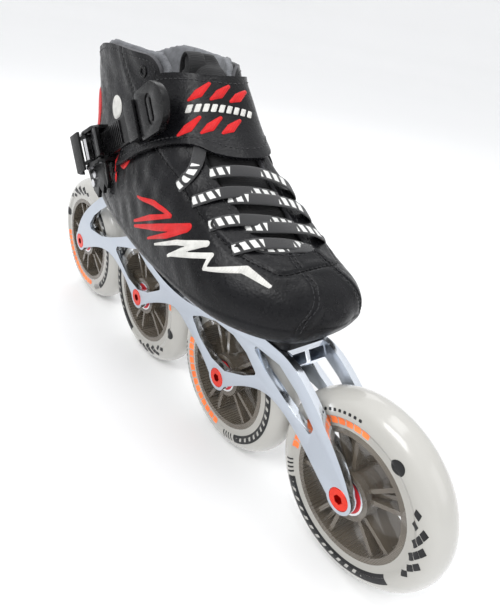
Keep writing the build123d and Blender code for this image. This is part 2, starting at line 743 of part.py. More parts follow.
LEVER_HALF_W = 12.5
LEVER_COVER = [(-19, 49.9), (-15, 53.5), (-3, 52.8), (-3, 51.2), (-14, 51.2), (-19, 46.5), (-20.5, 46.5)]
LEVER_CHEEK = [(-6, 51.4), (-3, 51.4), (2.5, 50.2), (3.0, 46.2), (-5.5, 45.5)]
lever_half = half_gap - 0.4
with BuildPart() as lever:
    add(cross_prism(LEVER_COVER, -LEVER_HALF_W, LEVER_HALF_W))
    for side in (-1, 1):
        inner, out = sorted((side * (lever_half - 1.8), side * lever_half))
        add(cross_prism(LEVER_CHEEK, inner, out))
    add(cross_pin(PIVOT, PIN_R + 0.03, 60), mode=Mode.SUBTRACT)
save(lever.part, "buckle_lever")

with BuildPart() as drive_pawl:
    add(cross_prism([(-4.6, 45.8), (0.8, 45.8), (0.8, 49.2), (-1, 50.3), (-4.6, 49.6)], -6.9, 6.9))
    add(cross_prism([(-4.6, 45.9), (-1.5, 45.9), (-3.9, 43.0)], -6.9, 6.9))
    add(cross_pin(PIVOT, PIN_R + 0.03, 60), mode=Mode.SUBTRACT)
save(drive_pawl.part, "drive_pawl")

LOCK_BODY = [(8.5, 44.4), (13.5, 44.4), (20, 47.4), (21, 50), (18, 50.2), (12, 48.8), (8.5, 48)]
with BuildPart() as lock_pawl:
    add(cross_prism(LOCK_BODY, -8.8, 8.8))
    add(cross_prism([(8.5, 44.5), (11.5, 44.5), (9.0, 43.0)], -7.0, 7.0))
    add(cross_pin(PAWL_PIVOT, PIN_R + 0.03, 60), mode=Mode.SUBTRACT)
save(lock_pawl.part, "lock_pawl")

PIN_L = CHEEK_GAP + 2 * CHEEK_T + 0.8
save(cross_pin(PIVOT, PIN_R, PIN_L), "lever_pin")
save(cross_pin(PAWL_PIVOT, PIN_R, PIN_L), "pawl_pin")
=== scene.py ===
"""Looks of a right-foot inline speed skate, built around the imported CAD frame."""
import math

import bmesh
import bpy
import numpy as np
from mathutils import Matrix, Vector
from mathutils.bvhtree import BVHTree


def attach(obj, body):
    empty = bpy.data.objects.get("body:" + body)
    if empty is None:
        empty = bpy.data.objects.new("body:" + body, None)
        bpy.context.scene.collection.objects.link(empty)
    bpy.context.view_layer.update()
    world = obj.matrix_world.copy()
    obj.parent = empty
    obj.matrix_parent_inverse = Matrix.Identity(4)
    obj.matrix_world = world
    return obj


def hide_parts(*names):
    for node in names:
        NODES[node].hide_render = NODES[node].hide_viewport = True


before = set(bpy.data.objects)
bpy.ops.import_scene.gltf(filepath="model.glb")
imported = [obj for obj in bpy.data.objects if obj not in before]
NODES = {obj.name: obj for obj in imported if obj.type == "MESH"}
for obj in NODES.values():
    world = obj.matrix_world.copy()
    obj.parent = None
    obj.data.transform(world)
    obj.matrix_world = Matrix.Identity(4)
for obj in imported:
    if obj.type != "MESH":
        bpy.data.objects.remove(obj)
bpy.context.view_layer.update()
MM = 0.001

# ------------------------------------------------------------------ sizes, in millimetres
WHEEL_R = 55.0
WHEELS = (1, 2, 3, 4)
TYRE_HALF = 12.0
# rings of the boot: bottom x and z, top x and z, lateral and medial half widths, height of the widest place as
# a share, and how square the ring is below and above it
STATIONS = [
    (119.0, 122.0, 120.0, 136.0, 10.0, 18.0, 0.50, 2.2, 2.2),
    (112.0, 115.0, 115.0, 145.0, 24.0, 31.0, 0.40, 2.6, 2.3),
    (96.0, 112.0, 101.0, 152.5, 36.0, 39.0, 0.34, 2.9, 2.2),
    (72.0, 112.5, 81.0, 160.0, 46.0, 42.0, 0.30, 3.1, 2.2),
    (40.0, 113.5, 60.0, 174.0, 49.0, 42.0, 0.26, 3.2, 2.2),
    (0.0, 113.0, 38.0, 190.0, 48.0, 38.0, 0.24, 3.2, 2.2),
    (-45.0, 115.5, 20.0, 205.0, 45.0, 36.0, 0.24, 3.1, 2.4),
    (-95.0, 119.5, 9.0, 218.0, 39.0, 35.0, 0.27, 2.7, 2.6),
    (-123.0, 133.0, 2.0, 226.0, 35.0, 33.0, 0.34, 2.4, 2.7),
    (-131.0, 158.0, -2.0, 231.0, 32.0, 32.0, 0.42, 2.3, 2.8),
    (-131.0, 192.0, -5.0, 234.0, 31.0, 31.0, 0.48, 2.3, 2.8),
    (-129.0, 222.0, -8.0, 236.0, 33.0, 32.0, 0.50, 2.3, 2.8),
    (-129.0, 236.0, -10.0, 250.0, 33.0, 32.0, 0.50, 2.3, 2.8),
]
ROWS = 330
HALF_RING = 105
TOE_ROWS = 12
TOE_BULGE = 3.5

RAND_TOP = [(-150, 162), (-140, 158), (-90, 141), (-40, 130), (20, 126), (70, 125), (110, 127), (140, 131)]
CUFF_TOP = [(-150, 216), (-132, 216), (-118, 220), (-95, 228), (-70, 231), (-40, 231), (-10, 232), (40, 236)]
QUARTER_SEAM = [
    (-64, 240), (-62, 231), (-59, 220), (-50, 210), (-38, 201), (-15, 188), (17, 177), (34, 169), (61, 159),
    (80, 153), (91, 151), (99, 150.5), (103, 156),
]
THROAT = [
    (86, 7), (89, -1), (88, -9), (83, -16), (70, -20), (55, -23), (28, -26), (-6, -28), (-24, -28),
    (-32, -20), (-32, 2), (-24, 9), (10, 8), (37, 5), (53, 6), (67, 7), (79, 9),
]
STRAP_EDGE = [
    (60, 190), (34, 190.5), (20, 194), (8, 191), (-4, 186), (-20, 178), (-36, 168), (-50, 160), (-72, 190),
    (-56, 201), (-42, 211), (-30, 220), (-16, 225), (0, 227), (16, 226), (50, 222),
]


# ------------------------------------------------------------------ curves and distances
def smooth_through(rows, at):
    """Natural cubic spline through rows at 0, 1, 2 and so on."""
    rows = np.asarray(rows, float)
    count = len(rows)
    system = np.eye(count)
    right = np.zeros_like(rows)
    for i in range(1, count - 1):
        system[i, i - 1:i + 2] = 1, 4, 1
        right[i] = 6 * (rows[i - 1] - 2 * rows[i] + rows[i + 1])
    bend = np.linalg.solve(system, right)
    at = np.clip(np.asarray(at, float), 0, count - 1 - 1e-9)
    i = at.astype(int)
    f = (at - i)[:, None]
    g = 1 - f
    return g * rows[i] + f * rows[i + 1] + ((g ** 3 - g) * bend[i] + (f ** 3 - f) * bend[i + 1]) / 6


def smooth_line(points, step=1.0):
    """Points about step apart on a smooth open curve through the given ones."""
    points = np.asarray(points, float)
    dense = smooth_through(points, np.linspace(0, len(points) - 1, 60 * len(points)))
    run = np.concatenate([[0], np.cumsum(np.linalg.norm(np.diff(dense, axis=0), axis=1))])
    places = np.linspace(0, run[-1], max(2, int(run[-1] / step) + 1))
    return np.stack([np.interp(places, run, dense[:, k]) for k in range(points.shape[1])], 1)


def smooth_loop(points, rounds=3):
    """Closed outline with its corners cut smooth."""
    points = np.asarray(points, float)
    for _ in range(rounds):
        nxt = np.roll(points, -1, axis=0)
        points = np.stack([0.8 * points + 0.2 * nxt, 0.2 * points + 0.8 * nxt], 1).reshape(-1, 2)
    return points


def inside_distance(points, outline):
    """Distance to a closed outline, positive inside it."""
    best = np.full(len(points), 1e9)
    inside = np.zeros(len(points), bool)
    for a, b in zip(outline, np.roll(outline, -1, axis=0)):
        run = b - a
        length2 = max(run @ run, 1e-12)
        t = np.clip(((points - a) @ run) / length2, 0, 1)
        best = np.minimum(best, np.linalg.norm(points - a - t[:, None] * run, axis=1))
        crosses = (a[1] > points[:, 1]) != (b[1] > points[:, 1])
        where = a[0] + (points[:, 1] - a[1]) * run[0] / (run[1] if abs(run[1]) > 1e-12 else 1e-12)
        inside ^= crosses & (points[:, 0] < where)
    return np.where(inside, best, -best)


def stroke_distance(points, stroke):
    """Distance inside a line of (a, b, radius) points, positive inside it."""
    best = np.full(len(points), -1e9)
    for first, last in zip(stroke[:-1], stroke[1:]):
        a, b = np.array(first[:2], float), np.array(last[:2], float)
        run = b - a
        t = np.clip(((points - a) @ run) / (run @ run), 0, 1)
        radius = first[2] + t * (last[2] - first[2])
        best = np.maximum(best, radius - np.linalg.norm(points - a - t[:, None] * run, axis=1))
    return best


def ellipse_distance(points, centre, half, angle=0.0):
    """Roughly the distance inside an ellipse."""
    c, s = math.cos(math.radians(angle)), math.sin(math.radians(angle))
    d = points - np.array(centre, float)
    along = (d[:, 0] * c + d[:, 1] * s) / half[0]
    across = (-d[:, 0] * s + d[:, 1] * c) / half[1]
    return (1 - np.hypot(along, across)) * min(half)


def line_distance(points, line):
    """Distance from 3-D points to the nearest of a line's points."""
    best = np.full(len(points), 1e9)
    for start in range(0, len(line), 40):
        chunk = line[start:start + 40]
        gap = np.linalg.norm(points[:, None, :] - chunk[None, :, :], axis=2)
        best = np.minimum(best, gap.min(1))
    return best


# ------------------------------------------------------------------ mesh helpers
def make_object(name, verts_mm, faces, material, smooth=True):
    mesh = bpy.data.meshes.new(name)
    mesh.from_pydata((np.asarray(verts_mm, float) * MM).tolist(), [], [list(f) for f in faces])
    mesh.validate()
    mesh.update()
    mesh.polygons.foreach_set("use_smooth", [smooth] * len(mesh.polygons))
    obj = bpy.data.objects.new(name, mesh)
    bpy.context.scene.collection.objects.link(obj)
    if material is not None:
        mesh.materials.append(material)
    return obj


def clip_mesh(verts, faces, values):
    """The part of a mesh where values are positive, cut cleanly along zero."""
    verts = [tuple(v) for v in verts]
    values = list(values)
    made = {}
    out = []
    for face in faces:
        signs = [values[i] >= 0 for i in face]
        if all(signs):
            out.append(tuple(face))
            continue
        if not any(signs):
            continue
        polygon = []
        for k, i in enumerate(face):
            j = face[(k + 1) % len(face)]
            if signs[k]:
                polygon.append(i)
            if signs[k] != signs[(k + 1) % len(face)]:
                key = (min(i, j), max(i, j))
                if key not in made:
                    t = values[i] / (values[i] - values[j])
                    t = min(max(t, 0.02), 0.98)
                    made[key] = len(verts)
                    verts.append(tuple(a + t * (b - a) for a, b in zip(verts[i], verts[j])))
                    values.append(0.0)
                polygon.append(made[key])
        if len(polygon) >= 3:
            out.append(tuple(polygon))
    used = sorted({i for f in out for i in f})
    place = {old: new for new, old in enumerate(used)}
    return np.array([verts[i] for i in used]), [tuple(place[i] for i in f) for f in out], np.array(used)


def contour(verts, faces, values):
    """Lines on a mesh where values pass through zero, longest first."""
    links = {}
    points = {}
    for face in faces:
        ends = []
        for k, i in enumerate(face):
            j = face[(k + 1) % len(face)]
            if (values[i] >= 0) != (values[j] >= 0):
                key = (min(i, j), max(i, j))
                if key not in points:
                    t = values[i] / (values[i] - values[j])
                    points[key] = verts[i] + t * (verts[j] - verts[i])
                ends.append(key)
        if len(ends) == 2:
            links.setdefault(ends[0], []).append(ends[1])
            links.setdefault(ends[1], []).append(ends[0])
    lines = []
    left = set(links)
    starts = sorted(k for k in links if len(links[k]) == 1) + sorted(links)
    for start in starts:
        if start not in left:
            continue
        chain = [start]
        left.discard(start)
        while True:
            onward = [k for k in links[chain[-1]] if k in left]
            if not onward:
                break
            chain.append(onward[0])
            left.discard(onward[0])
        lines.append(np.array([points[k] for k in chain]))
    return sorted(lines, key=len, reverse=True)


def tube_faces(rows, sides, start=0):
    """Walls and both end caps of a tube made of rows of rings."""
    faces = []
    for i in range(rows - 1):
        for k in range(sides):
            a, b = start + i * sides + k, start + i * sides + (k + 1) % sides
            faces.append((a, b, b + sides, a + sides))
    faces.append(tuple(start + k for k in reversed(range(sides))))
    faces.append(tuple(start + (rows - 1) * sides + k for k in range(sides)))
    return faces


def even_points(line, step):
    run = np.concatenate([[0], np.cumsum(np.linalg.norm(np.diff(line, axis=0), axis=1))])
    places = np.arange(0, run[-1], step)
    return np.stack([np.interp(places, run, line[:, k]) for k in range(3)], 1)


def tree_of(verts, faces):
    return BVHTree.FromPolygons([tuple(v) for v in verts], [tuple(f) for f in faces])


def surface_at(tree, points):
    """Nearest surface points and outward normals."""
    spots, normals = [], []
    for p in points:
        spot, normal, _, _ = tree.find_nearest(Vector(p))
        spots.append(spot)
        normals.append(normal)
    return np.array(spots), np.array(normals)


# place along the stitch, share of the full radius, and how far it dips
STITCH_SHAPE = ((-0.5, 0.35, -0.25), (-0.38, 0.9, 0.0), (0.0, 1.0, 0.1), (0.38, 0.9, 0.0), (0.5, 0.35, -0.25))


def stitches(name, lines, tree, material, body, pitch=3.1, length=2.3, radius=0.26, lift=0.12):
    """Thread stitches along lines that lie on a surface."""
    sides = 6
    verts, faces = [], []
    for line in lines:
        if len(line) < 3:
            continue
        spots = even_points(line, pitch)
        if len(spots) < 3:
            continue
        places, normals = surface_at(tree, spots)
        along = np.gradient(places, axis=0)
        for spot, normal, run in zip(places, normals, along):
            run = run / max(np.linalg.norm(run), 1e-9)
            across = np.cross(normal, run)
            across /= max(np.linalg.norm(across), 1e-9)
            base = len(verts)
            for t, size, dip in STITCH_SHAPE:
                centre = spot + run * t * length + normal * (lift + dip)
                for k in range(sides):
                    a = 2 * math.pi * k / sides
                    out = math.cos(a) * across * 1.25 + math.sin(a) * normal
                    verts.append(centre + radius * size * out)
            faces += tube_faces(len(STITCH_SHAPE), sides, base)
    piece = make_object(name, verts, faces, material)
    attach(piece, body)
    return piece


def ribbon(name, path, normals, width, thickness, material, step=1.22):
    """Flat woven band along a path, with UVs in millimetres."""
    path = np.asarray(path, float)
    both = smooth_line(np.concatenate([path, normals], 1), step)
    centre, up = both[:, :3], both[:, 3:]
    along = np.gradient(centre, axis=0)
    along /= np.linalg.norm(along, axis=1)[:, None]
    up = up - (up * along).sum(1)[:, None] * along
    up /= np.linalg.norm(up, axis=1)[:, None]
    across = np.cross(up, along)
    profile = []
    for a in np.linspace(0, 2 * math.pi, 20, endpoint=False):
        c, s = math.cos(a), math.sin(a)
        out = math.copysign(abs(c) ** 0.5, c) * width / 2
        profile.append((out, math.copysign(abs(s) ** 0.8, s) * thickness / 2))
    verts = []
    sides = len(profile)
    for p, u, w in zip(centre, up, across):
        for x, y in profile:
            verts.append(p + w * x + u * (y + 0.10 * thickness * math.cos(math.pi * x / width)))
    piece = make_object(name, verts, tube_faces(len(centre), sides), material)
    run = np.concatenate([[0], np.cumsum(np.linalg.norm(np.diff(centre, axis=0), axis=1))])
    layer = piece.data.uv_layers.new(name="band")
    for loop in piece.data.loops:
        i, k = divmod(loop.vertex_index, sides)
        top = 1.0 if profile[k][1] > 0 else 3.0
        layer.data[loop.index].uv = (run[i], profile[k][0] / width * top)
    return piece


def bevelled(node, body, width, material, segments=2, angle=35.0):
    """A copy of a CAD node with its edges rounded, standing for that node."""
    mesh = NODES[node].data.copy()
    work = bmesh.new()
    work.from_mesh(mesh)
    bmesh.ops.remove_doubles(work, verts=work.verts, dist=2e-6)
    bmesh.ops.dissolve_limit(work, angle_limit=math.radians(0.6), verts=work.verts, edges=work.edges)
    work.to_mesh(mesh)
    work.free()
    if "custom_normal" in mesh.attributes:
        mesh.attributes.remove(mesh.attributes["custom_normal"])
    mesh.materials.clear()
    mesh.materials.append(material)
    obj = bpy.data.objects.new(f"{node}_finished", mesh)
    bpy.context.scene.collection.objects.link(obj)
    mod = obj.modifiers.new("edges", "BEVEL")
    mod.width = width * MM
    mod.segments = segments
    mod.limit_method = "ANGLE"
    mod.angle_limit = math.radians(angle)
    mod.harden_normals = False
    mod.use_clamp_overlap = True
    bpy.context.view_layer.update()
    shape = bpy.data.meshes.new_from_object(obj.evaluated_get(bpy.context.evaluated_depsgraph_get()))
    obj.modifiers.clear()
    obj.data = shape
    shape.polygons.foreach_set("use_smooth", [True] * len(shape.polygons))
    shape.set_sharp_from_angle(angle=math.radians(28))
    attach(obj, body)
    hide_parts(node)
    return obj


# ------------------------------------------------------------------ materials
class Looks:
    """Small helper that wires one Principled material."""

    def __init__(self, name, colour, roughness, metallic=0.0, **extra):
        self.material = bpy.data.materials.new(name)
        self.material.use_nodes = True
        self.tree = self.material.node_tree
        self.shader = self.tree.nodes["Principled BSDF"]
        self.place = self.tree.nodes.new("ShaderNodeTexCoord").outputs["Object"]
        self.set("Base Color", (*colour, 1.0))
        self.set("Roughness", roughness)
        self.set("Metallic", metallic)
        for key, value in extra.items():
            self.set(key.replace("_", " "), value)
        self.height = None

    def set(self, socket, value):
        self.shader.inputs[socket].default_value = value

    def node(self, kind, links=(), **fields):
        node = self.tree.nodes.new(kind)
        for key, value in fields.items():
            setattr(node, key, value)
        for socket, source in dict(links).items():
            if isinstance(source, bpy.types.NodeSocket):
                self.tree.links.new(source, node.inputs[socket])
            else:
                node.inputs[socket].default_value = source
        return node

    def scaled(self, scale, source=None):
        mapping = self.node("ShaderNodeMapping", {"Vector": source or self.place})
        mapping.inputs["Scale"].default_value = scale
        return mapping.outputs["Vector"]

    def noise(self, scale, detail=3.0, rough=0.5, source=None):
        links = {"Vector": source or self.place, "Scale": scale, "Detail": detail, "Roughness": rough}
        return self.node("ShaderNodeTexNoise", links).outputs["Fac"]

    def cells(self, scale, feature="F1"):
        links = {"Vector": self.place, "Scale": scale}
        return self.node("ShaderNodeTexVoronoi", links, feature=feature).outputs["Distance"]

    def wave(self, scale, direction="DIAGONAL", distortion=0.0, source=None):
        links = {"Vector": source or self.place, "Scale": scale, "Distortion": distortion}
        wave = self.node("ShaderNodeTexWave", links, wave_type="BANDS", bands_direction=direction)
        return wave.outputs["Fac"]

    def math(self, operation, a, b=0.0):
        node = self.node("ShaderNodeMath", operation=operation)
        for k, source in enumerate((a, b)):
            if isinstance(source, bpy.types.NodeSocket):
                self.tree.links.new(source, node.inputs[k])
            else:
                node.inputs[k].default_value = source
        return node.outputs[0]

    def spread(self, source, low, high, from_low=0.0, from_high=1.0):
        links = {"Value": source, "From Min": from_low, "From Max": from_high, "To Min": low, "To Max": high}
        return self.node("ShaderNodeMapRange", links).outputs["Result"]

    def blend_colours(self, factor, a, b):
        node = self.node("ShaderNodeMix", data_type="RGBA")
        self.tree.links.new(factor, node.inputs[0])
        for socket, colour in ((node.inputs[6], a), (node.inputs[7], b)):
            if isinstance(colour, bpy.types.NodeSocket):
                self.tree.links.new(colour, socket)
            else:
                socket.default_value = (*colour, 1.0)
        return node.outputs[2]

    def colour(self, source):
        self.tree.links.new(source, self.shader.inputs["Base Color"])

    def mottle(self, scale, detail, dark, light, edges=(0.3, 0.7)):
        """Base colour that drifts between two colours."""
        self.colour(self.blend_colours(self.spread(self.noise(scale, detail), 0, 1, *edges), dark, light))

    def uneven_gloss(self, scale, detail, low, high):
        self.rough(self.spread(self.noise(scale, detail), low, high, 0.3, 0.7))

    def rough(self, source):
        self.tree.links.new(source, self.shader.inputs["Roughness"])

    def bump(self, source, depth_mm, strength=1.0):
        links = {"Height": source, "Strength": strength, "Distance": depth_mm * MM}
        node = self.node("ShaderNodeBump", links)
        if self.height is not None:
            self.tree.links.new(self.height, node.inputs["Normal"])
        self.height = node.outputs["Normal"]
        self.tree.links.new(self.height, self.shader.inputs["Normal"])


def tint(colour, amount):
    return tuple(amount * c for c in colour)


def leather_look(name, colour, roughness):
    look = Looks(name, colour, roughness, Specular_IOR_Level=0.19)
    look.mottle(28, 4, tint(colour, 0.7), tint(colour, 1.5))
    look.uneven_gloss(420, 3, roughness - 0.09, roughness + 0.12)
    look.bump(look.cells(760), 0.12, 0.7)
    look.bump(look.cells(310, "SMOOTH_F1"), 0.16, 0.35)
    look.bump(look.noise(90, 2), 0.5, 0.5)
    return look.material


def woven_look(name, colour, roughness, pitch_mm, sheen=0.3):
    look = Looks(name, colour, roughness, Sheen_Weight=sheen, Sheen_Roughness=0.5)
    bands = math.pi / (10 * pitch_mm * MM)
    warp = look.wave(bands, "X", 0.6)
    weft = look.wave(bands, "Z", 0.6)
    weave = look.math("MULTIPLY", warp, weft)
    look.mottle(160, 3, tint(colour, 0.72), tint(colour, 1.25))
    look.bump(weave, 0.22, 0.7)
    look.bump(look.noise(1400, 2), 0.08, 0.5)
    return look.material


def thread_look(name, colour, direction):
    look = Looks(name, colour, 0.45, Sheen_Weight=0.08, Sheen_Roughness=0.35, Specular_IOR_Level=0.25)
    threads = look.wave(520, direction, 1.2)
    drift = look.spread(look.noise(240, 3), 0.85, 1.1, 0.3, 0.7)
    # painted shade: the colour darkens in the grooves between the thread's twists, times a random drift in tone
    shade = look.math("MULTIPLY", look.spread(threads, 0.75, 1.0), drift)
    look.colour(look.blend_colours(look.spread(shade, 0, 1, 0.65, 1.05), tint(colour, 0.62), colour))
    look.bump(threads, 0.18, 0.8)
    return look.material


def plastic_look(name, colour, roughness):
    look = Looks(name, colour, roughness, Specular_IOR_Level=0.25)
    look.uneven_gloss(260, 4, roughness - 0.06, roughness + 0.12)
    look.mottle(60, 3, tint(colour, 0.8), tint(colour, 1.35), (0.35, 0.65))
    look.bump(look.noise(700, 2), 0.01, 0.3)
    return look.material


def metal_look(name, colour, roughness, turned=False):
    look = Looks(name, colour, roughness, 1.0)
    look.uneven_gloss(340, 4, roughness - 0.05, roughness + 0.09)
    look.mottle(70, 3, tint(colour, 0.88), colour, (0.35, 0.65))
    grain = look.noise(900, 2, source=look.scaled((1, 8, 1))) if turned else look.noise(2600, 2)
    look.bump(grain, 0.012, 0.5)
    return look.material


def frame_look():
    """Satin faces with glossier cut edges, told apart by which way they face. Their colours carry painted
    light: the faces darker as a painted reflection, the edges lighter as a painted highlight.
    """
    look = Looks("frame_aluminium", (0.78, 0.83, 0.90), 0.3, 1.0)
    normal = look.node("ShaderNodeNewGeometry").outputs["Normal"]
    across = look.node("ShaderNodeSeparateXYZ", {"Vector": normal}).outputs["Y"]
    facing = look.math("ABSOLUTE", across)
    cut = look.spread(facing, 1.0, 0.0, 0.90, 0.985)
    satin = look.spread(look.noise(900, 3), 0.30, 0.40, 0.3, 0.7)
    bright = look.spread(look.noise(420, 3), 0.10, 0.19, 0.3, 0.7)
    mixed = look.node("ShaderNodeMix", {0: cut, 2: satin, 3: bright}, data_type="FLOAT")
    look.rough(mixed.outputs[0])
    # painted reflection and highlight: the side faces' colour is darkened and the cut edges' colour lightened
    look.colour(look.blend_colours(cut, (0.48, 0.52, 0.58), (0.80, 0.84, 0.90)))
    grain = look.noise(1500, 2, source=look.scaled((0.25, 1, 1)))
    look.bump(grain, 0.012, 0.45)
    return look.material


def tyre_look(station):
    """Milky urethane with painted shade: greyer next to the core, where the dark core would show through;
    station is the wheel's x in millimetres.
    """
    look = Looks("tyre_urethane", (0.55, 0.54, 0.51), 0.2, Coat_Weight=0.45, Coat_Roughness=0.07)
    place = look.node("ShaderNodeNewGeometry").outputs["Position"]
    parts = look.node("ShaderNodeSeparateXYZ", {"Vector": place})
    run = look.math("SUBTRACT", parts.outputs["X"], station * MM)
    rise = look.math("SUBTRACT", parts.outputs["Z"], WHEEL_R * MM)
    squares = look.math("ADD", look.math("MULTIPLY", run, run), look.math("MULTIPLY", rise, rise))
    radius = look.math("SQRT", squares)
    # painted shade: the colour darkens towards the core, standing in for light lost into the dark core
    outer = look.spread(radius, 0, 1, 0.041, 0.052)
    look.colour(look.blend_colours(outer, (0.37, 0.36, 0.33), (0.49, 0.48, 0.45)))
    look.uneven_gloss(60, 3, 0.15, 0.22)
    look.bump(look.noise(160, 2), 0.01, 0.2)
    return look.material


def core_look():
    """Smoked see-through moulding: each wall lets part of what is behind it show."""
    look = Looks("core_smoked", (0.12, 0.10, 0.08), 0.14, Alpha=0.74, Coat_Weight=0.4, Coat_Roughness=0.08)
    look.mottle(38, 3, (0.115, 0.094, 0.07), (0.175, 0.148, 0.115))
    look.uneven_gloss(120, 3, 0.12, 0.2)
    look.bump(look.noise(300, 2), 0.01, 0.3)
    return look.material


def lace_look():
    """Black flat weave with rows of plain slanted white blocks."""
    look = Looks("lace_weave", (0.018, 0.018, 0.019), 0.7, Sheen_Weight=0.25, Sheen_Roughness=0.5)
    uv = look.node("ShaderNodeUVMap", uv_map="band").outputs["UV"]
    parts = look.node("ShaderNodeSeparateXYZ", {"Vector": uv})
    along, across = parts.outputs["X"], parts.outputs["Y"]
    slant = look.math("ADD", along, look.math("MULTIPLY", across, 3.0))
    block = look.math("LESS_THAN", look.math("FRACT", look.math("MULTIPLY", slant, 1 / 5.2)), 0.62)
    group = look.math("LESS_THAN", look.math("FRACT", look.math("MULTIPLY", along, 1 / 34.0)), 0.50)
    inner = look.math("LESS_THAN", look.math("ABSOLUTE", across), 0.33)
    white = look.math("MULTIPLY", look.math("MULTIPLY", block, group), inner)
    threads = []
    for lean in (6.0, -6.0):
        diagonal = look.math("ADD", along, look.math("MULTIPLY", across, lean))
        threads.append(look.math("SINE", look.math("MULTIPLY", diagonal, 9.0)))
    weave = look.math("MULTIPLY", *threads)
    # painted shade: the black darkens in the dips of the weave
    black = look.blend_colours(look.spread(weave, 0, 1, -1, 1), (0.010, 0.010, 0.011), (0.032, 0.032, 0.034))
    look.colour(look.blend_colours(white, black, (0.80, 0.80, 0.78)))
    look.bump(weave, 0.10, 0.8)
    return look.material


LEATHER = leather_look("boot_leather_grain", (0.0055, 0.0055, 0.0065), 0.31)
STRAP_LEATHER = leather_look("strap_leather_grain", (0.005, 0.005, 0.006), 0.29)
RAND = leather_look("boot_rand_smooth", (0.005, 0.005, 0.006), 0.34)
LINING = woven_look("boot_lining", (0.055, 0.057, 0.062), 0.85, 0.9)
GREY_LINING = woven_look("collar_lining_grey", (0.165, 0.17, 0.182), 0.85, 0.9, 0.1)
TONGUE = woven_look("tongue_textile", (0.009, 0.009, 0.010), 0.8, 0.8, 0.1)
INSOLE = woven_look("insole_cover", (0.09, 0.09, 0.10), 0.9, 1.1)
LEATHER_EDGE = leather_look("leather_cut_edge", (0.075, 0.075, 0.08), 0.6)
THREAD_DARK = thread_look("seam_thread", (0.012, 0.012, 0.013), "DIAGONAL")
THREAD_GREY = thread_look("edge_thread", (0.035, 0.035, 0.038), "DIAGONAL")
RED_THREAD = thread_look("embroidery_red_thread", (0.72, 0.012, 0.014), "DIAGONAL")
WHITE_THREAD = thread_look("embroidery_white_thread", (0.82, 0.81, 0.77), "DIAGONAL")
LACE = lace_look()
PLASTIC = plastic_look("moulded_black", (0.005, 0.005, 0.0055), 0.27)
STEEL = metal_look("fastener_bright", (0.62, 0.62, 0.64), 0.26)
BEARING = metal_look("bearing_ground", (0.72, 0.72, 0.74), 0.2, True)
RED_METAL = metal_look("axle_red_anodised", (0.80, 0.055, 0.035), 0.26, True)
RED_SHIELD = plastic_look("shield_red", (0.60, 0.03, 0.04), 0.3)
SPACER = metal_look("spacer_turned", (0.75, 0.76, 0.78), 0.3, True)
FRAME = frame_look()
STATION = {1: 167.7, 2: 55.9, 3: -55.9, 4: -167.7}
TYRES = {w: tyre_look(x) for w, x in STATION.items()}
CORE = core_look()
INK_BLACK = plastic_look("ink_black", (0.014, 0.014, 0.015), 0.42)
INK_ORANGE = plastic_look("ink_orange", (0.92, 0.20, 0.055), 0.45)


def paint(node, material):
    obj = NODES[node]
    obj.data.materials.clear()
    obj.data.materials.append(material)


# ------------------------------------------------------------------ boot surface
def half_widths(v, waist, low, high):
    below = (1 - np.abs(1 - np.minimum(v, waist) / waist) ** low) ** (1 / low)
    above = (1 - np.clip((v - waist) / (1 - waist), 0, 1) ** high) ** (1 / high)
    return np.where(v < waist, below, above)


def boot_grid():
    """Rows of rings over the whole boot, toe first, as rows x ring x 3."""
    dense = smooth_through(STATIONS, np.linspace(0, len(STATIONS) - 1, 1200))
    low = np.linalg.norm(np.diff(dense[:, 0:2], axis=0), axis=1)
    high = np.linalg.norm(np.diff(dense[:, 2:4], axis=0), axis=1)
    wide = np.abs(np.diff(dense[:, 4]))
    run = np.concatenate([[0], np.cumsum(0.5 * low + 0.5 * high + 0.7 * wide)])
    at = np.interp(np.linspace(0, run[-1], ROWS), run, np.linspace(0, len(STATIONS) - 1, 1200))
    rows = smooth_through(STATIONS, at)
    v = 0.5 - 0.5 * np.cos(np.pi * np.arange(HALF_RING + 1) / HALF_RING)
    rings = []
    for bx, bz, tx, tz, lateral, medial, waist, low_n, high_n in rows:
        shape = half_widths(v, waist, low_n, high_n)
        left = np.stack([bx + (tx - bx) * v, -lateral * shape, bz + (tz - bz) * v], 1)
        right = np.stack([bx + (tx - bx) * v, medial * shape, bz + (tz - bz) * v], 1)
        rings.append(np.concatenate([left, right[1:-1][::-1]]))
    rings = np.array(rings)
    first = rings[0]
    centre = 0.5 * (first.min(0) + first.max(0))
    cap = []
    for k in range(TOE_ROWS):
        r = k / TOE_ROWS
        cap.append(centre + (first - centre) * max(r, 1e-3) + np.array([TOE_BULGE * (1 - r * r), 0, 0]))
    return np.concatenate([np.array(cap), rings])


def grid_faces(rows, ring):
    return [
        (i * ring + k, i * ring + (k + 1) % ring, (i + 1) * ring + (k + 1) % ring, (i + 1) * ring + k)
        for i in range(rows - 1) for k in range(ring)
    ]


def grid_normals(grid):
    around = np.roll(grid, -1, axis=1) - np.roll(grid, 1, axis=1)
    along = np.gradient(grid, axis=0)
    normal = np.cross(around, along)
    size = np.linalg.norm(normal, axis=2, keepdims=True)
    return normal / np.maximum(size, 1e-9)


base = boot_grid()
rows_n, ring_n, _ = base.shape
FACES = grid_faces(rows_n, ring_n)
normals = grid_normals(base)
middle = base.mean(axis=(0, 1))
if ((base - middle) * normals).sum() < 0:
    normals = -normals
    FACES = [tuple(reversed(f)) for f in FACES]
flat = base.reshape(-1, 3)
flat_normals = normals.reshape(-1, 3)

throat_loop = smooth_loop(THROAT)
cuff_line = smooth_line(CUFF_TOP)
rand_line = smooth_line(RAND_TOP)
quarter_line = smooth_line(QUARTER_SEAM)
quarter_zone = np.concatenate([quarter_line, [(103, 300), (-64, 300)]])


def cuff_value(points):
    return np.interp(points[:, 0], cuff_line[:, 0], cuff_line[:, 1]) - points[:, 2]


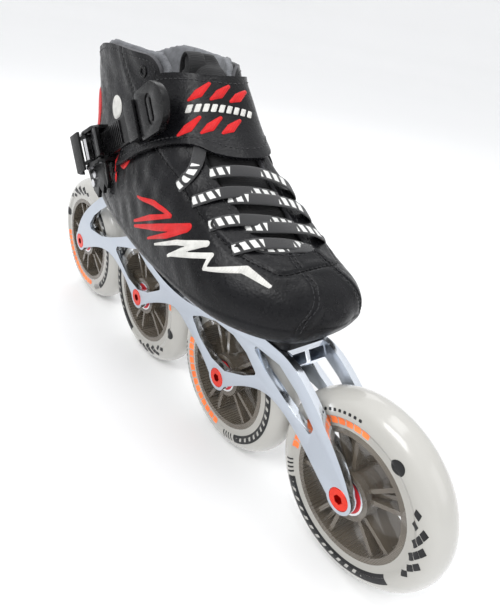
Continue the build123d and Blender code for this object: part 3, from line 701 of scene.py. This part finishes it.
def rand_value(points):
    return points[:, 2] - np.interp(points[:, 0], rand_line[:, 0], rand_line[:, 1])


def corner_value(points, radius=10.0):
    """Distance inside both the cuff top and the throat, with a rounded corner between them."""
    a, b = cuff_value(points), throat_value(points)
    rounded = radius - np.hypot(radius - a, radius - b)
    return np.where((a < radius) & (b < radius), rounded, np.minimum(a, b))


def throat_value(points):
    inside = inside_distance(points[:, :2], throat_loop)
    return np.where(points[:, 2] > 138, -inside, np.maximum(-inside, 5.0))


def facing_value(points):
    return inside_distance(points[:, [0, 2]], quarter_zone)


seam_lines = [line for line in contour(flat, FACES, facing_value(flat)) if len(line) > 40]
TOE_SEAM = [
    (88, -8, 157), (95, -9, 155), (103, -8, 152), (111, -8, 147), (117, -11, 141), (119, -15, 135),
    (116, -20, 126),
]
MEDIAL_SEAM = [(88, 8, 157), (95, 10, 155), (103, 13, 151), (111, 19, 145), (115, 22, 137), (114, 26, 128)]
HEEL_SEAM = [(-131, 0, 216), (-133, 0, 195), (-132, 0, 172), (-128, 0, 150), (-122, 0, 138)]
plain_tree = tree_of(flat, FACES)
extra_seams = []
for points in (TOE_SEAM, MEDIAL_SEAM, HEEL_SEAM):
    spots, _ = surface_at(plain_tree, smooth_line(points))
    extra_seams.append(spots)
groove_points = np.concatenate([even_points(line, 0.8) for line in seam_lines + extra_seams])

gap = line_distance(flat, groove_points)
x, y, z = flat[:, 0], flat[:, 1], flat[:, 2]
relief = -0.55 * np.exp(-(gap / 0.8) ** 2) + 0.35 * np.exp(-((gap - 3.0) / 2.2) ** 2)
folds = 0.28 * np.sin(0.21 * x + 0.33 * z + 1.7 * np.sin(0.07 * x - 0.05 * y))
folds += 0.20 * np.sin(0.13 * x - 0.27 * z + 0.19 * y + 2.1)
folds += 0.16 * np.sin(0.41 * x + 0.11 * z - 0.23 * y + 0.6)
flex = np.exp(-((x - 5) / 55) ** 2) * np.clip((z - 128) / 30, 0, 1)
relief += folds * (0.45 + 0.9 * flex) * np.clip((z - 122) / 12, 0, 1)
relief += 0.45 * np.clip(-rand_value(flat) / 1.2, 0, 1)
relief += 0.35 * np.clip(facing_value(flat) / 1.0, 0, 1)
skin = flat + flat_normals * relief[:, None]
skin_tree = tree_of(skin, FACES)


def thick_piece(name, verts, faces, materials, thickness, offset=-1.0, bevel=0.45):
    """A skin given thickness, with rounded edges."""
    obj = make_object(name, verts, faces, materials[0])
    for extra in materials[1:]:
        obj.data.materials.append(extra)
    solid = obj.modifiers.new("thickness", "SOLIDIFY")
    solid.thickness = thickness * MM
    solid.offset = offset
    solid.use_even_offset = False
    if len(materials) > 1:
        solid.material_offset = 1
        solid.material_offset_rim = len(materials) - 1
    if bevel:
        edge = obj.modifiers.new("edge", "BEVEL")
        edge.width = bevel * MM
        edge.segments = 2
        edge.limit_method = "ANGLE"
        edge.angle_limit = math.radians(50)
    bpy.context.view_layer.update()
    shape = bpy.data.meshes.new_from_object(obj.evaluated_get(bpy.context.evaluated_depsgraph_get()))
    obj.modifiers.clear()
    obj.data = shape
    shape.polygons.foreach_set("use_smooth", [True] * len(shape.polygons))
    shape.set_sharp_from_angle(angle=math.radians(55))
    return obj


# leather upper, above the rand
upper_values = np.minimum(corner_value(skin), rand_value(skin) + 0.4)
upper_v, upper_f, _ = clip_mesh(skin, FACES, upper_values)
upper = thick_piece("boot_upper", upper_v, upper_f, [LEATHER, LINING, LEATHER_EDGE], 2.6)
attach(upper, "root")
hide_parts("vamp_lateral", "vamp_medial", "facing_lateral", "facing_medial")

# rand and sole
sole_v, sole_f, _ = clip_mesh(skin, FACES, -rand_value(skin))
sole = thick_piece("boot_rand", sole_v, sole_f, [RAND, LINING, RAND], 2.8)
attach(sole, "root")
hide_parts("shell_cup")


def rounded_block(name, centre, size, corner, material, bevel=0.8):
    """Upright block with a rounded plan and softened edges."""
    outline = []
    for cx, cy, start in ((1, 1, 0), (-1, 1, 90), (-1, -1, 180), (1, -1, 270)):
        for a in range(0, 91, 15):
            t = math.radians(start + a)
            px = cx * (size[0] / 2 - corner) + corner * math.cos(t)
            outline.append((px, cy * (size[1] / 2 - corner) + corner * math.sin(t)))
    first = -0.5 + bevel * 0.3 / size[2]
    layers = [(-0.5, -bevel), (first, -bevel * 0.3), (-0.5 + bevel / size[2], 0), (0.5, 0)]
    verts = []
    for h, inset in layers:
        for px, py in outline:
            scale = 1 + 2 * inset / max(size[0], size[1])
            verts.append((centre[0] + px * scale, centre[1] + py * scale, centre[2] + h * size[2]))
    piece = make_object(name, verts, tube_faces(len(layers), len(outline)), material)
    piece.data.set_sharp_from_angle(angle=math.radians(40))
    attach(piece, "root")
    return piece


MOUNT_PADS = (("front_mount_pad", 93.0, 107.5, 114.6), ("rear_mount_pad", -102.0, 116.5, 123.9))
for name, px, low, high in MOUNT_PADS:
    pad = rounded_block(name, (px, 0, (low + high) / 2), (30, 34, high - low), 5.0, RAND)

# stitching of the upper
upper_tree = tree_of(upper_v, upper_f)


def on_upper(line):
    """The stretch of a line that lies on the cut upper."""
    return line[corner_value(line) > 1.0]


quarter_lines = [on_upper(line) for line in seam_lines]
stitches("quarter_stitching", quarter_lines, skin_tree, THREAD_DARK, "root", lift=0.35)
edge_lines = contour(upper_v, upper_f, corner_value(upper_v) - 3.1)
stitches("edge_stitching", [l for l in edge_lines if len(l) > 20], upper_tree, THREAD_GREY, "root", lift=0.05)
side_lines = []
for line, gap_mm in ((TOE_SEAM, 1.6), (MEDIAL_SEAM, 1.6), (HEEL_SEAM, 1.8)):
    spots, ups = surface_at(skin_tree, smooth_line(line))
    runs = np.gradient(spots, axis=0)
    sideways = np.cross(ups, runs)
    sideways /= np.linalg.norm(sideways, axis=1)[:, None]
    side_lines += [spots + sideways * gap_mm, spots - sideways * gap_mm]
stitches("toe_and_heel_stitching", side_lines, skin_tree, THREAD_GREY, "root", lift=0.1)
print("upper done", len(upper_v), len(sole_v))

# ------------------------------------------------------------------ collar and tongue
def column_points(k, heights):
    """Points of ring column k at given heights near the cuff, on the plain surface."""
    column = base[TOE_ROWS + ROWS // 2:, k]
    heights = np.asarray(heights, float)
    return np.stack([np.interp(heights, column[:, 2], column[:, c]) for c in range(3)], 1)


def swollen(name, verts, faces, material, voxel=1.7, pressure=3.5, cap=1.2):
    """Closed pad blown up a little by cloth simulation, each point held near its start."""
    obj = make_object(name, verts, faces, material)
    remesh = obj.modifiers.new("even", "REMESH")
    remesh.mode = "VOXEL"
    remesh.voxel_size = voxel * MM
    remesh.use_smooth_shade = True
    bpy.context.view_layer.update()
    obj.data = bpy.data.meshes.new_from_object(obj.evaluated_get(bpy.context.evaluated_depsgraph_get()))
    obj.modifiers.clear()
    start = np.array([v.co for v in obj.data.vertices])
    cloth = obj.modifiers.new("fill", "CLOTH")
    cloth.settings.quality = 5
    cloth.settings.use_pressure = True
    cloth.settings.uniform_pressure_force = pressure
    cloth.settings.effector_weights.gravity = 0.0
    cloth.settings.tension_stiffness = 20
    cloth.settings.compression_stiffness = 20
    for step in range(1, 17):
        bpy.context.scene.frame_set(step)
    shape = bpy.data.meshes.new_from_object(obj.evaluated_get(bpy.context.evaluated_depsgraph_get()))
    obj.modifiers.clear()
    end = np.array([v.co for v in shape.vertices])
    move = end - start
    size = np.linalg.norm(move, axis=1, keepdims=True)
    move *= np.minimum(1.0, cap * MM / np.maximum(size, 1e-12))
    shape.vertices.foreach_set("co", (start + move).ravel())
    obj.data = shape
    bpy.context.scene.frame_set(1)
    smooth = obj.modifiers.new("soft", "SMOOTH")
    smooth.factor = 0.5
    smooth.iterations = 3
    subdivide = obj.modifiers.new("fine", "SUBSURF")
    subdivide.levels = 1
    subdivide.render_levels = 1
    bpy.context.view_layer.update()
    obj.data = bpy.data.meshes.new_from_object(obj.evaluated_get(bpy.context.evaluated_depsgraph_get()))
    obj.modifiers.clear()
    obj.data.polygons.foreach_set("use_smooth", [True] * len(obj.data.polygons))
    return obj


def collar_columns():
    """Ring columns of the cuff, from its inner front edge round the heel to the outer one."""
    top = HALF_RING
    keep = []
    for k in [(top + 1 + i) % ring_n for i in range(ring_n - 1)]:
        px, py, _ = column_points(k, [228.0])[0]
        if px < -22 or py > 9.5 or py < -28.5:
            keep.append(k)
    return keep


columns = collar_columns()
verts, faces = [], []
SECTION = 22
for k in columns:
    spot = column_points(k, [225.0])[0]
    edge = float(np.interp(spot[0], cuff_line[:, 0], cuff_line[:, 1]))
    for a in np.linspace(0, 2 * math.pi, SECTION, endpoint=False):
        c, s = math.cos(a), math.sin(a)
        height = edge - 13.5 + 17.0 * math.copysign(abs(s) ** 0.6, s)
        depth = 6.3 + 2.3 * math.copysign(abs(c) ** 0.7, c)
        p = column_points(k, [height])[0]
        q = column_points((k + 1) % ring_n, [height])[0] - column_points((k - 1) % ring_n, [height])[0]
        out = np.array([q[1], -q[0], 0.0])
        out /= np.linalg.norm(out)
        if out @ (p - np.array([-70.0, 0, p[2]])) < 0:
            out = -out
        verts.append(p - out * depth)
collar = swollen("collar_pad", verts, tube_faces(len(columns), SECTION), GREY_LINING)
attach(collar, "root")
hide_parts("collar_padding")

# tongue: a padded strip under the throat, up past the strap
top_rows = list(range(TOE_ROWS + 40, rows_n))
verts, faces = [], []
ACROSS = np.linspace(-1, 1, 25)


def tongue_ring(row):
    """Closed section of the tongue under one grid row."""
    upper_half = base[row][HALF_RING - 60:HALF_RING + 61]
    order = np.argsort(upper_half[:, 1])
    line = upper_half[order]
    up = normals[row][HALF_RING - 60:HALF_RING + 61][order]
    ring = []
    near_tip = max(base[row][HALF_RING][2] - 224.0, 0.0) / 16.5
    half = 18.0 * (1 - near_tip ** 2) ** 0.5
    for side in (1, -1):
        for t in (ACROSS if side > 0 else ACROSS[::-1]):
            py = -7.0 + half * t
            p = np.array([np.interp(py, line[:, 1], line[:, c]) for c in range(3)])
            n = np.array([np.interp(py, line[:, 1], up[:, c]) for c in range(3)])
            round_off = (1 - abs(t) ** 3) ** 0.5
            ring.append(p - n / np.linalg.norm(n) * (5.9 - side * (0.25 + 2.0 * round_off)))
    return ring


tongue_rows = [r for r in top_rows if 141 < base[r][HALF_RING][2] < 239.0 and base[r][HALF_RING][0] < 94][::3]
for r in tongue_rows:
    verts.extend(tongue_ring(r))
tongue = swollen("tongue_pad", verts, tube_faces(len(tongue_rows), 2 * len(ACROSS)), TONGUE)
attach(tongue, "root")
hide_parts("tongue")
tip = base[tongue_rows[-1]][HALF_RING] + np.array([-5.5, -12.0, -3.0])
PULL_LOOP = [
    (4.0, 0, -16.0), (5.0, 0, -8.0), (4.2, 0, -2.0), (0.0, 0, 1.5), (-4.2, 0, -2.0), (-5.0, 0, -8.0),
    (-4.5, 0, -13.0),
]
PULL_OUT = [
    (1.0, 0, 0.1), (1.0, 0, 0.0), (0.9, 0, 0.4), (0, 0, 1.0), (-0.9, 0, 0.4), (-1.0, 0, 0), (-1.0, 0, 0),
]
pull_path = tip + np.array(PULL_LOOP)
pull_out = np.array(PULL_OUT)
tongue_pull = ribbon("tongue_pull", pull_path, pull_out, 11.0, 1.3, TONGUE)
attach(tongue_pull, "root")
print("pads done")

# ------------------------------------------------------------------ ankle strap
strap_loop = smooth_loop(STRAP_EDGE, 3)
strap_skin = flat + flat_normals * 1.5


def strap_value(points):
    value = inside_distance(points[:, [0, 2]], strap_loop)
    lateral_end = np.where(points[:, 1] < 0, points[:, 0] + 38.0 - 0.25 * (points[:, 2] - 196), 50.0)
    return np.minimum(value, lateral_end)


strap_v, strap_f, _ = clip_mesh(strap_skin, FACES, strap_value(strap_skin))
strap_tree = tree_of(strap_v, strap_f)
strap_stitch_lines = [l for l in contour(strap_v, strap_f, strap_value(strap_v) - 3.4) if len(l) > 25]
STRAP_T = 2.2
strap_looks = [STRAP_LEATHER, LINING, STRAP_LEATHER]
strap = thick_piece("ankle_strap_leather", strap_v, strap_f, strap_looks, STRAP_T, offset=1.0, bevel=0.7)
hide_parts("ankle_strap")
strap_out = strap_v + surface_at(strap_tree, strap_v)[1] * STRAP_T
strap_top_tree = tree_of(strap_out, strap_f)
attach(strap, "root")
stitches("strap_stitching", strap_stitch_lines, strap_top_tree, THREAD_GREY, "root", lift=0.05)


# ------------------------------------------------------------------ embroidery and prints laid on surfaces
def decal(name, value, low, high, place, tree, direction, material, reach=200.0):
    """Thin raised patch: value(points) > 0 in a plane, dropped on to a surface along direction."""
    step, lift, puff, soft = 0.55, 0.12, 0.55, 1.3
    us = np.arange(low[0], high[0] + step, step)
    vs = np.arange(low[1], high[1] + step, step)
    grid = np.array([(u, v) for v in vs for u in us])
    worth = value(grid)
    columns_n = len(us)
    quads = []
    for j in range(len(vs) - 1):
        for i in range(columns_n - 1):
            k = j * columns_n + i
            face = (k, k + 1, k + 1 + columns_n, k + columns_n)
            if max(worth[list(face)]) > 0:
                quads.append(face)
    flat3 = np.concatenate([grid, worth[:, None]], 1)
    cut, cut_faces, _ = clip_mesh(flat3, quads, worth)
    aim = Vector(direction).normalized()
    verts = []
    for u, v, w in cut:
        origin = Vector(place(u, v))
        spot, normal, _, _ = tree.ray_cast(origin - aim * reach, aim)
        if spot is None:
            spot, normal, _, _ = tree.find_nearest(origin)
        if normal.dot(aim) > 0:
            normal = -normal
        rise = lift + puff * math.sin(min(max(w, 0) / soft, 1.0) * math.pi / 2)
        verts.append(np.array(spot + normal * rise))
    piece = make_object(name, verts, cut_faces, material)
    bm = bmesh.new()
    bm.from_mesh(piece.data)
    bmesh.ops.recalc_face_normals(bm, faces=bm.faces)
    away = sum((f.normal.dot(-aim) * f.calc_area() for f in bm.faces), 0.0)
    if away < 0:
        bmesh.ops.reverse_faces(bm, faces=bm.faces)
    bm.to_mesh(piece.data)
    bm.free()
    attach(piece, "root")
    return piece


def strokes_value(*strokes):
    return lambda p: np.max([stroke_distance(p, s) for s in strokes], axis=0)


def on_side(u, v):
    return (u, -60.0, v)


def side_patch(name, value, low, high, material):
    """Embroidery on the lateral side; value takes x and z."""
    decal(name, value, low, high, on_side, skin_tree, (0.0, 1.0, 0.0), material)


def drop_value(p):
    """Round drop with a thin tail and a small bead below it."""
    tail = stroke_distance(p, [(-52, 170, 0.9), (-56, 163, 0.7), (-53, 157, 0.6)])
    drop = np.maximum(ellipse_distance(p, (-43, 171), (9.5, 9), 10), tail)
    return np.maximum(drop, ellipse_distance(p, (-50, 154), (1.6, 3.4), 15))


RED_STROKES = (
    [(-11, 155, 0.7), (9, 158, 1.7), (27, 157, 1.3)], [(27, 157, 1.2), (8, 149, 1.7), (-10, 140, 0.9)],
    [(-9, 137, 0.9), (18, 147, 2.1), (44, 157, 2.2)], [(44, 156, 1.8), (30, 147, 1.7), (10, 137, 0.7)],
)
WHITE_STROKES = (
    [(19, 137, 0.7), (40, 147, 1.5), (60, 154, 1.7)], [(60, 154, 1.4), (46, 145, 1.4), (35, 137, 0.9)],
    [(36, 138, 0.9), (50, 144, 1.5), (66, 150, 1.5)], [(66, 149, 1.3), (66, 143, 1.0)],
    [(66, 143, 1.0), (84, 149, 1.8), (99, 145.5, 0.7)],
)
side_patch(
    "embroidered_oval", lambda p: ellipse_distance(p, (-107, 184), (7.5, 15), 14), (-120, 165), (-94, 203),
    RED_THREAD)
side_patch(
    "embroidered_disc", lambda p: ellipse_distance(p, (-69, 194), (7.4, 7.4)), (-78, 185), (-60, 203),
    WHITE_THREAD)
side_patch("embroidered_drop", drop_value, (-60, 148), (-32, 182), RED_THREAD)
side_patch("embroidered_red_flash", strokes_value(*RED_STROKES), (-16, 130), (50, 164), RED_THREAD)
side_patch("embroidered_white_flash", strokes_value(*WHITE_STROKES), (14, 130), (104, 160), WHITE_THREAD)

# plain motif on the strap: two rows of slanted blades with a row of bars between them
front_dir = Vector((-0.80, 0.30, -0.52)).normalized()
side_dir = front_dir.cross(Vector((0, 0, 1))).normalized()
up_dir = side_dir.cross(front_dir).normalized()
motif_at = Vector((14.2, -10.7, 211.5))


def on_front(u, v):
    return motif_at + side_dir * u + up_dir * v - front_dir * 40.0


BLADE = ((-19, 0.0, 0.8), (-14, 3.4, 2.6), (-8, 9.0, 1.0))
BLADES = [
    [(u + 11.5 * i + shift, row + v, radius) for u, v, radius in BLADE]
    for i in range(3) for row, shift in ((5.0, 3.0), (-14.5, -3.0))
]


def bars_value(p):
    """Row of short slanted bars."""
    bars = [1.5 - np.abs(p[:, 0] - centre - 0.35 * p[:, 1]) for centre in np.arange(-16, 20, 4.4)]
    return np.minimum(np.max(bars, axis=0), 2.3 - np.abs(p[:, 1]))


def strap_patch(name, value, low, high, material):
    decal(name, value, low, high, on_front, strap_top_tree, tuple(front_dir), material, reach=10)


strap_patch("strap_motif_red", strokes_value(*BLADES), (-24, -18), (26, 18), RED_THREAD)
strap_patch("strap_motif_white", bars_value, (-20, -3), (22, 3), WHITE_THREAD)
print("embroidery done")

# ------------------------------------------------------------------ laces
skin_lift_tree = plain_tree


def over_boot(points, lifts):
    spots, ups = surface_at(skin_lift_tree, points)
    return spots + ups * np.asarray(lifts, float)[:, None], ups


lace_pieces = []
LACE_WIDTH = 7.2
LACE_THICK = 1.2
OVER = [
    [(31, -29, 181), (38, -22, 184), (46, -8, 184), (52, 6, 182), (54, 15, 177), (50, 21, 170)],
    [(47, -27, 172), (54, -20, 174), (61, -6, 173), (65, 8, 171), (67, 17, 166), (62, 23, 159)],
    [(63, -25, 163), (70, -19, 164), (76, -6, 163), (79, 8, 161), (80, 17, 156), (75, 23, 150)],
]
UNDER = [
    [(37, -36, 168), (44, -31, 172), (50, -22, 176), (56, -6, 176), (58, 6, 174), (56, 14, 170)],
    [(54, -35, 160), (60, -30, 164), (66, -20, 166), (71, -5, 165), (73, 7, 163), (70, 15, 158)],
    [(71, -31, 152), (76, -26, 156), (80, -18, 158), (84, -5, 157), (86, 5, 156), (84, 12, 152)],
]
for i, (over, under) in enumerate(zip(OVER, UNDER)):
    path, ups = over_boot(over, [-3.0, 1.4, 4.2, 4.4, 3.6, 0.3])
    lace_pieces.append(ribbon(f"lace_over_{i + 1}", path, ups, LACE_WIDTH, LACE_THICK, LACE))
    path, ups = over_boot(under, [0.2, 2.3, 2.4, 1.6, -0.4, -3.2])
    lace_pieces.append(ribbon(f"lace_under_{i + 1}", path, ups, LACE_WIDTH, LACE_THICK, LACE))
BAR = [(78, -22, 157), (84, -15, 157), (87, -5, 157.5), (88, 4, 157), (84, 12, 154)]
TOP = [(23, -38, 172), (27, -34, 178), (27, -30, 184), (24, -27, 190), (20, -24, 196)]
path, ups = over_boot(BAR, [0.0, 0.8, 0.8, 0.6, -0.6])
lace_pieces.append(ribbon("lace_bar", path, ups, 6.4, LACE_THICK, LACE))
path, ups = over_boot(TOP, [0.0, 1.8, 2.2, 1.2, 0.2])
lace_pieces.append(ribbon("lace_top", path, ups, LACE_WIDTH + 0.6, LACE_THICK, LACE))
for piece in lace_pieces:
    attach(piece, "root")
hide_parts("laces")


# ------------------------------------------------------------------ eyelets
def ring_on_surface(name, spot, radius, tube, material, squash=1.0):
    place, up = surface_at(skin_tree, [spot])
    up = up[0]
    along = np.cross([0, 1.0, 0], up)
    along /= np.linalg.norm(along)
    across = np.cross(up, along)
    verts, faces = [], []
    big, small = 28, 10
    for i in range(big):
        a = 2 * math.pi * i / big
        out = along * math.cos(a) * squash + across * math.sin(a)
        for k in range(small):
            b = 2 * math.pi * k / small
            height = 0.25 + tube * 0.7 * math.sin(b)
            verts.append(place[0] + out * (radius + tube * math.cos(b)) + up * height)
    for i in range(big):
        for k in range(small):
            a, b = i * small + k, i * small + (k + 1) % small
            c, d = ((i + 1) % big) * small + (k + 1) % small, ((i + 1) % big) * small + k
            faces.append((a, b, c, d))
    piece = make_object(name, verts, faces, material)
    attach(piece, "root")
    return piece


EYELET_SPOTS = [
    (26, -34, 177), (40, -33, 170), (57, -33, 162), (74, -29, 154), (50, 22, 171), (63, 23, 161), (76, 24, 151),
    (30, 20, 187), (-39, -30, 221),
]
for i, spot in enumerate(EYELET_SPOTS):
    radius, material = (3.4, THREAD_GREY) if i == 0 else (2.6, PLASTIC)
    ring_on_surface(f"eyelet_{i + 1}", spot, radius, 0.9, material)
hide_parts("eyelets")

# ------------------------------------------------------------------ CAD nodes: finished edges and materials
frame_piece = bevelled("frame", "root", 0.7, FRAME, 3)
for node, body, width in (
    ("ladder_strap", "strap_end", 0.35), ("strap_keeper", "strap_end", 0.5), ("buckle_base", "root", 0.45),
    ("buckle_lever", "lever", 0.6), ("lock_pawl", "pawl", 0.4),
):
    bevelled(node, body, width, PLASTIC)
for node, material in (
    ("mount_bolts", STEEL), ("mount_washers", STEEL), ("mount_inserts", STEEL), ("buckle_rivets", STEEL),
    ("drive_pawl", BEARING), ("lever_pin", STEEL), ("pawl_pin", STEEL), ("insole", INSOLE),
):
    paint(node, material)
for w in WHEELS:
    for part, material in (
        ("tyre", TYRES[w]), ("hub", CORE), ("bearing_outer", BEARING), ("bearing_inner", BEARING),
        ("bearing_balls", BEARING), ("bearing_shields", RED_SHIELD), ("spacer", SPACER), ("axle", RED_METAL),
    ):
        paint(f"wheel_{w}_{part}", material)

# ------------------------------------------------------------------ prints on the tyres
def tyre_side(radius):
    """Half width of the tyre at a radius."""
    edge = WHEEL_R - TYRE_HALF
    round_side = np.sqrt(np.maximum(TYRE_HALF ** 2 - (radius - edge) ** 2, 0))
    inner_side = np.where(radius > edge - 2, TYRE_HALF - (edge - radius) * 0.5, TYRE_HALF - 1)
    return np.where(radius > edge, round_side, inner_side)


def tyre_patch(value, first, last, r_low, r_high, wheel_x, turn, side, lift=0.06, step=0.8):
    """Thin print between two angles and radii, cut to value(radius, angle) > 0."""
    angles = np.arange(first, last + step, step)
    radii = np.arange(r_low, r_high + 0.5, 0.5)
    grid = np.array([(a, r) for r in radii for a in angles])
    worth = value(grid[:, 1], grid[:, 0])
    n = len(angles)
    corners = [j * n + i for j in range(len(radii) - 1) for i in range(n - 1)]
    quads = [(k, k + 1, k + n + 1, k + n) for k in corners]
    quads = [q for q in quads if max(worth[list(q)]) > 0]
    cut, cut_faces, _ = clip_mesh(grid, quads, worth)
    a = np.radians(cut[:, 0] + turn)
    r = cut[:, 1]
    out = side * (tyre_side(r) + lift)
    verts = np.stack([wheel_x + r * np.cos(a), out, WHEEL_R + r * np.sin(a)], 1)
    if side < 0:
        cut_faces = [tuple(reversed(f)) for f in cut_faces]
    return verts, cut_faces


def joined(name, patches, material, body):
    verts, faces = [], []
    for v, f in patches:
        start = len(verts)
        verts.extend(v)
        faces.extend(tuple(i + start for i in face) for face in f)
    piece = make_object(name, verts, faces, material)
    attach(piece, body)
    return piece


def box_value(a0, a1, r0, r1, slant=0.0):
    """Block between two angles and radii; slant leans it."""
    def value(r, a):
        lean = slant * (r - (r0 + r1) / 2)
        return np.minimum(np.minimum(a - a0 - lean, a1 + lean - a) * 0.72, np.minimum(r - r0, r1 - r))
    return value


def diamond_value(centre_a, centre_r, half_a, half_r):
    return lambda r, a: 1 - np.abs(a - centre_a) / half_a - np.abs(r - centre_r) / half_r


def band_value(r, a):
    """Black arc with a row of plain gaps."""
    arc = np.minimum(np.minimum(a + 150, -36 - a) * 0.75, np.minimum(r - 41.2, 46.6 - r))
    beat = np.mod(a + 0.9 * (r - 44), 7.5)
    slot_gap = np.minimum(np.minimum(beat - 1.4, 4.4 - beat) * 0.75, 1.25 - np.abs(r - 43.9))
    kept = np.where((a < -58) & (a > -146), -slot_gap, 1.0)
    return np.minimum(arc, kept)


def dot_value(r, a):
    return 4.1 - np.hypot(r - 43.2, (a - 62) * 0.75)


DIAMONDS = (
    (33, 44.5), (25, 42.0), (21, 46.5), (16.5, 44.3), (12, 42.0), (9, 46.4), (5, 44.2), (0.5, 42.0), (-3, 46.3),
    (-7.5, 44.2), (-15, 44.0),
)
TURNS = {1: 0.0, 2: 86.0, 3: -76.0, 4: 101.0}
for w, wheel_x in STATION.items():
    body = f"wheel_{w}"
    black, orange = [], []
    for side in (-1, 1):
        place = {"wheel_x": wheel_x, "turn": TURNS[w], "side": side}
        for a in np.arange(88, 184, 7.4):
            orange.append(tyre_patch(box_value(a, a + 6.2, 38.6, 42.6), a - 1, a + 8, 38.0, 43.2, **place))
        black.append(tyre_patch(dot_value, 54, 70, 38.5, 48, **place))
        for a, r in DIAMONDS:
            mark = diamond_value(a, r, 4.0, 2.1)
            black.append(tyre_patch(mark, a - 5, a + 5, r - 2.6, r + 2.6, step=0.5, **place))
        black.append(tyre_patch(band_value, -152, -34, 40.8, 47.0, step=0.6, **place))
        for a in (-154.5, -158, -161.5, -165):
            mark = box_value(a, a + 1.5, 41.4, 46.2, 0.25)
            black.append(tyre_patch(mark, a - 3, a + 4, 41, 46.6, step=0.5, **place))
        for a in np.arange(96, 146, 4.2):
            mark = box_value(a, a + 2.3, 45.3, 46.9)
            black.append(tyre_patch(mark, a - 1, a + 4, 45.0, 47.4, step=0.5, **place))
    joined(f"{body}_print_black", black, INK_BLACK, body)
    joined(f"{body}_print_orange", orange, INK_ORANGE, body)
print("wheels done")

# ------------------------------------------------------------------ stage, light and camera
def stage_plane():
    """Wide round floor that curves up into a low wall."""
    look = Looks("studio_floor", (0.93, 0.93, 0.93), 0.6)
    look.colour(look.blend_colours(look.noise(3, 2), (0.93, 0.93, 0.932), (0.95, 0.95, 0.95)))
    verts, faces = [(0, 0, 0)], []
    profile = [(1500, 0), (2500, 0), (2700, 30), (2850, 110), (2950, 250), (3000, 450), (3000, 700)]
    turns = 64
    for radius, height in profile:
        for k in range(turns):
            t = 2 * math.pi * k / turns
            verts.append((radius * math.cos(t), radius * math.sin(t), height))
    for k in range(turns):
        faces.append((0, 1 + k, 1 + (k + 1) % turns))
    for i in range(len(profile) - 1):
        for k in range(turns):
            first, last = 1 + i * turns + k, 1 + i * turns + (k + 1) % turns
            faces.append((first, first + turns, last + turns, last))
    make_object("studio_floor", verts, faces, look.material)


stage_plane()
world = bpy.data.worlds.new("studio")
world.use_nodes = True
sky = world.node_tree
sky.nodes["Background"].inputs["Color"].default_value = (0.975, 0.985, 1.0, 1.0)
way = sky.nodes.new("ShaderNodeTexCoord")
way_parts = sky.nodes.new("ShaderNodeSeparateXYZ")
rise = sky.nodes.new("ShaderNodeMapRange")
rise.inputs["To Min"].default_value = 0.72
rise.inputs["To Max"].default_value = 1.08
sky.links.new(way.outputs["Generated"], way_parts.inputs["Vector"])
sky.links.new(way_parts.outputs["Z"], rise.inputs["Value"])
sky.links.new(rise.outputs["Result"], sky.nodes["Background"].inputs["Strength"])
bpy.context.scene.world = world


def softbox(name, place, aim, size, power, colour=(1, 1, 1)):
    data = bpy.data.lights.new(name, "AREA")
    data.shape = "RECTANGLE"
    data.size, data.size_y = size
    data.energy = power
    data.color = colour
    lamp = bpy.data.objects.new(name, data)
    bpy.context.scene.collection.objects.link(lamp)
    lamp.location = place
    lamp.rotation_euler = (Vector(aim) - Vector(place)).to_track_quat("-Z", "Y").to_euler()


softbox("key", (0.15, -0.75, 0.95), (0, 0, 0.15), (0.6, 0.4), 5.0)
softbox("fill", (1.0, 0.25, 0.6), (0.05, 0, 0.12), (0.6, 0.6), 1.0)
softbox("back", (-0.75, 0.55, 0.8), (0, 0, 0.15), (0.8, 0.5), 1.6)
softbox("top", (0.1, 0.0, 1.1), (0, 0, 0.1), (0.8, 0.35), 2.4)

AZIMUTH, ELEVATION, ROLL = 48.21, 29.57, 9.66
a, e, r = (math.radians(t) for t in (AZIMUTH, ELEVATION, ROLL))
back = Vector((math.sin(a) * math.cos(e), -math.cos(a) * math.cos(e), math.sin(e)))
level = (-back).cross(Vector((0, 0, 1))).normalized()
upright = level.cross(-back)
right = level * math.cos(r) + upright * math.sin(r)
up = upright * math.cos(r) - level * math.sin(r)
camera_data = bpy.data.cameras.new("camera")
camera_data.sensor_fit = "VERTICAL"
camera_data.sensor_height = 36.0
camera_data.lens = 36.0 * 544.11 / 616.0
camera_data.clip_start = 0.01
camera = bpy.data.objects.new("camera", camera_data)
bpy.context.scene.collection.objects.link(camera)
turn = Matrix((right, up, back)).transposed().to_4x4()
camera.matrix_world = Matrix.Translation((0.27465, -0.19503, 0.26936)) @ turn
bpy.context.scene.camera = camera
bpy.context.scene.view_settings.view_transform = "Standard"
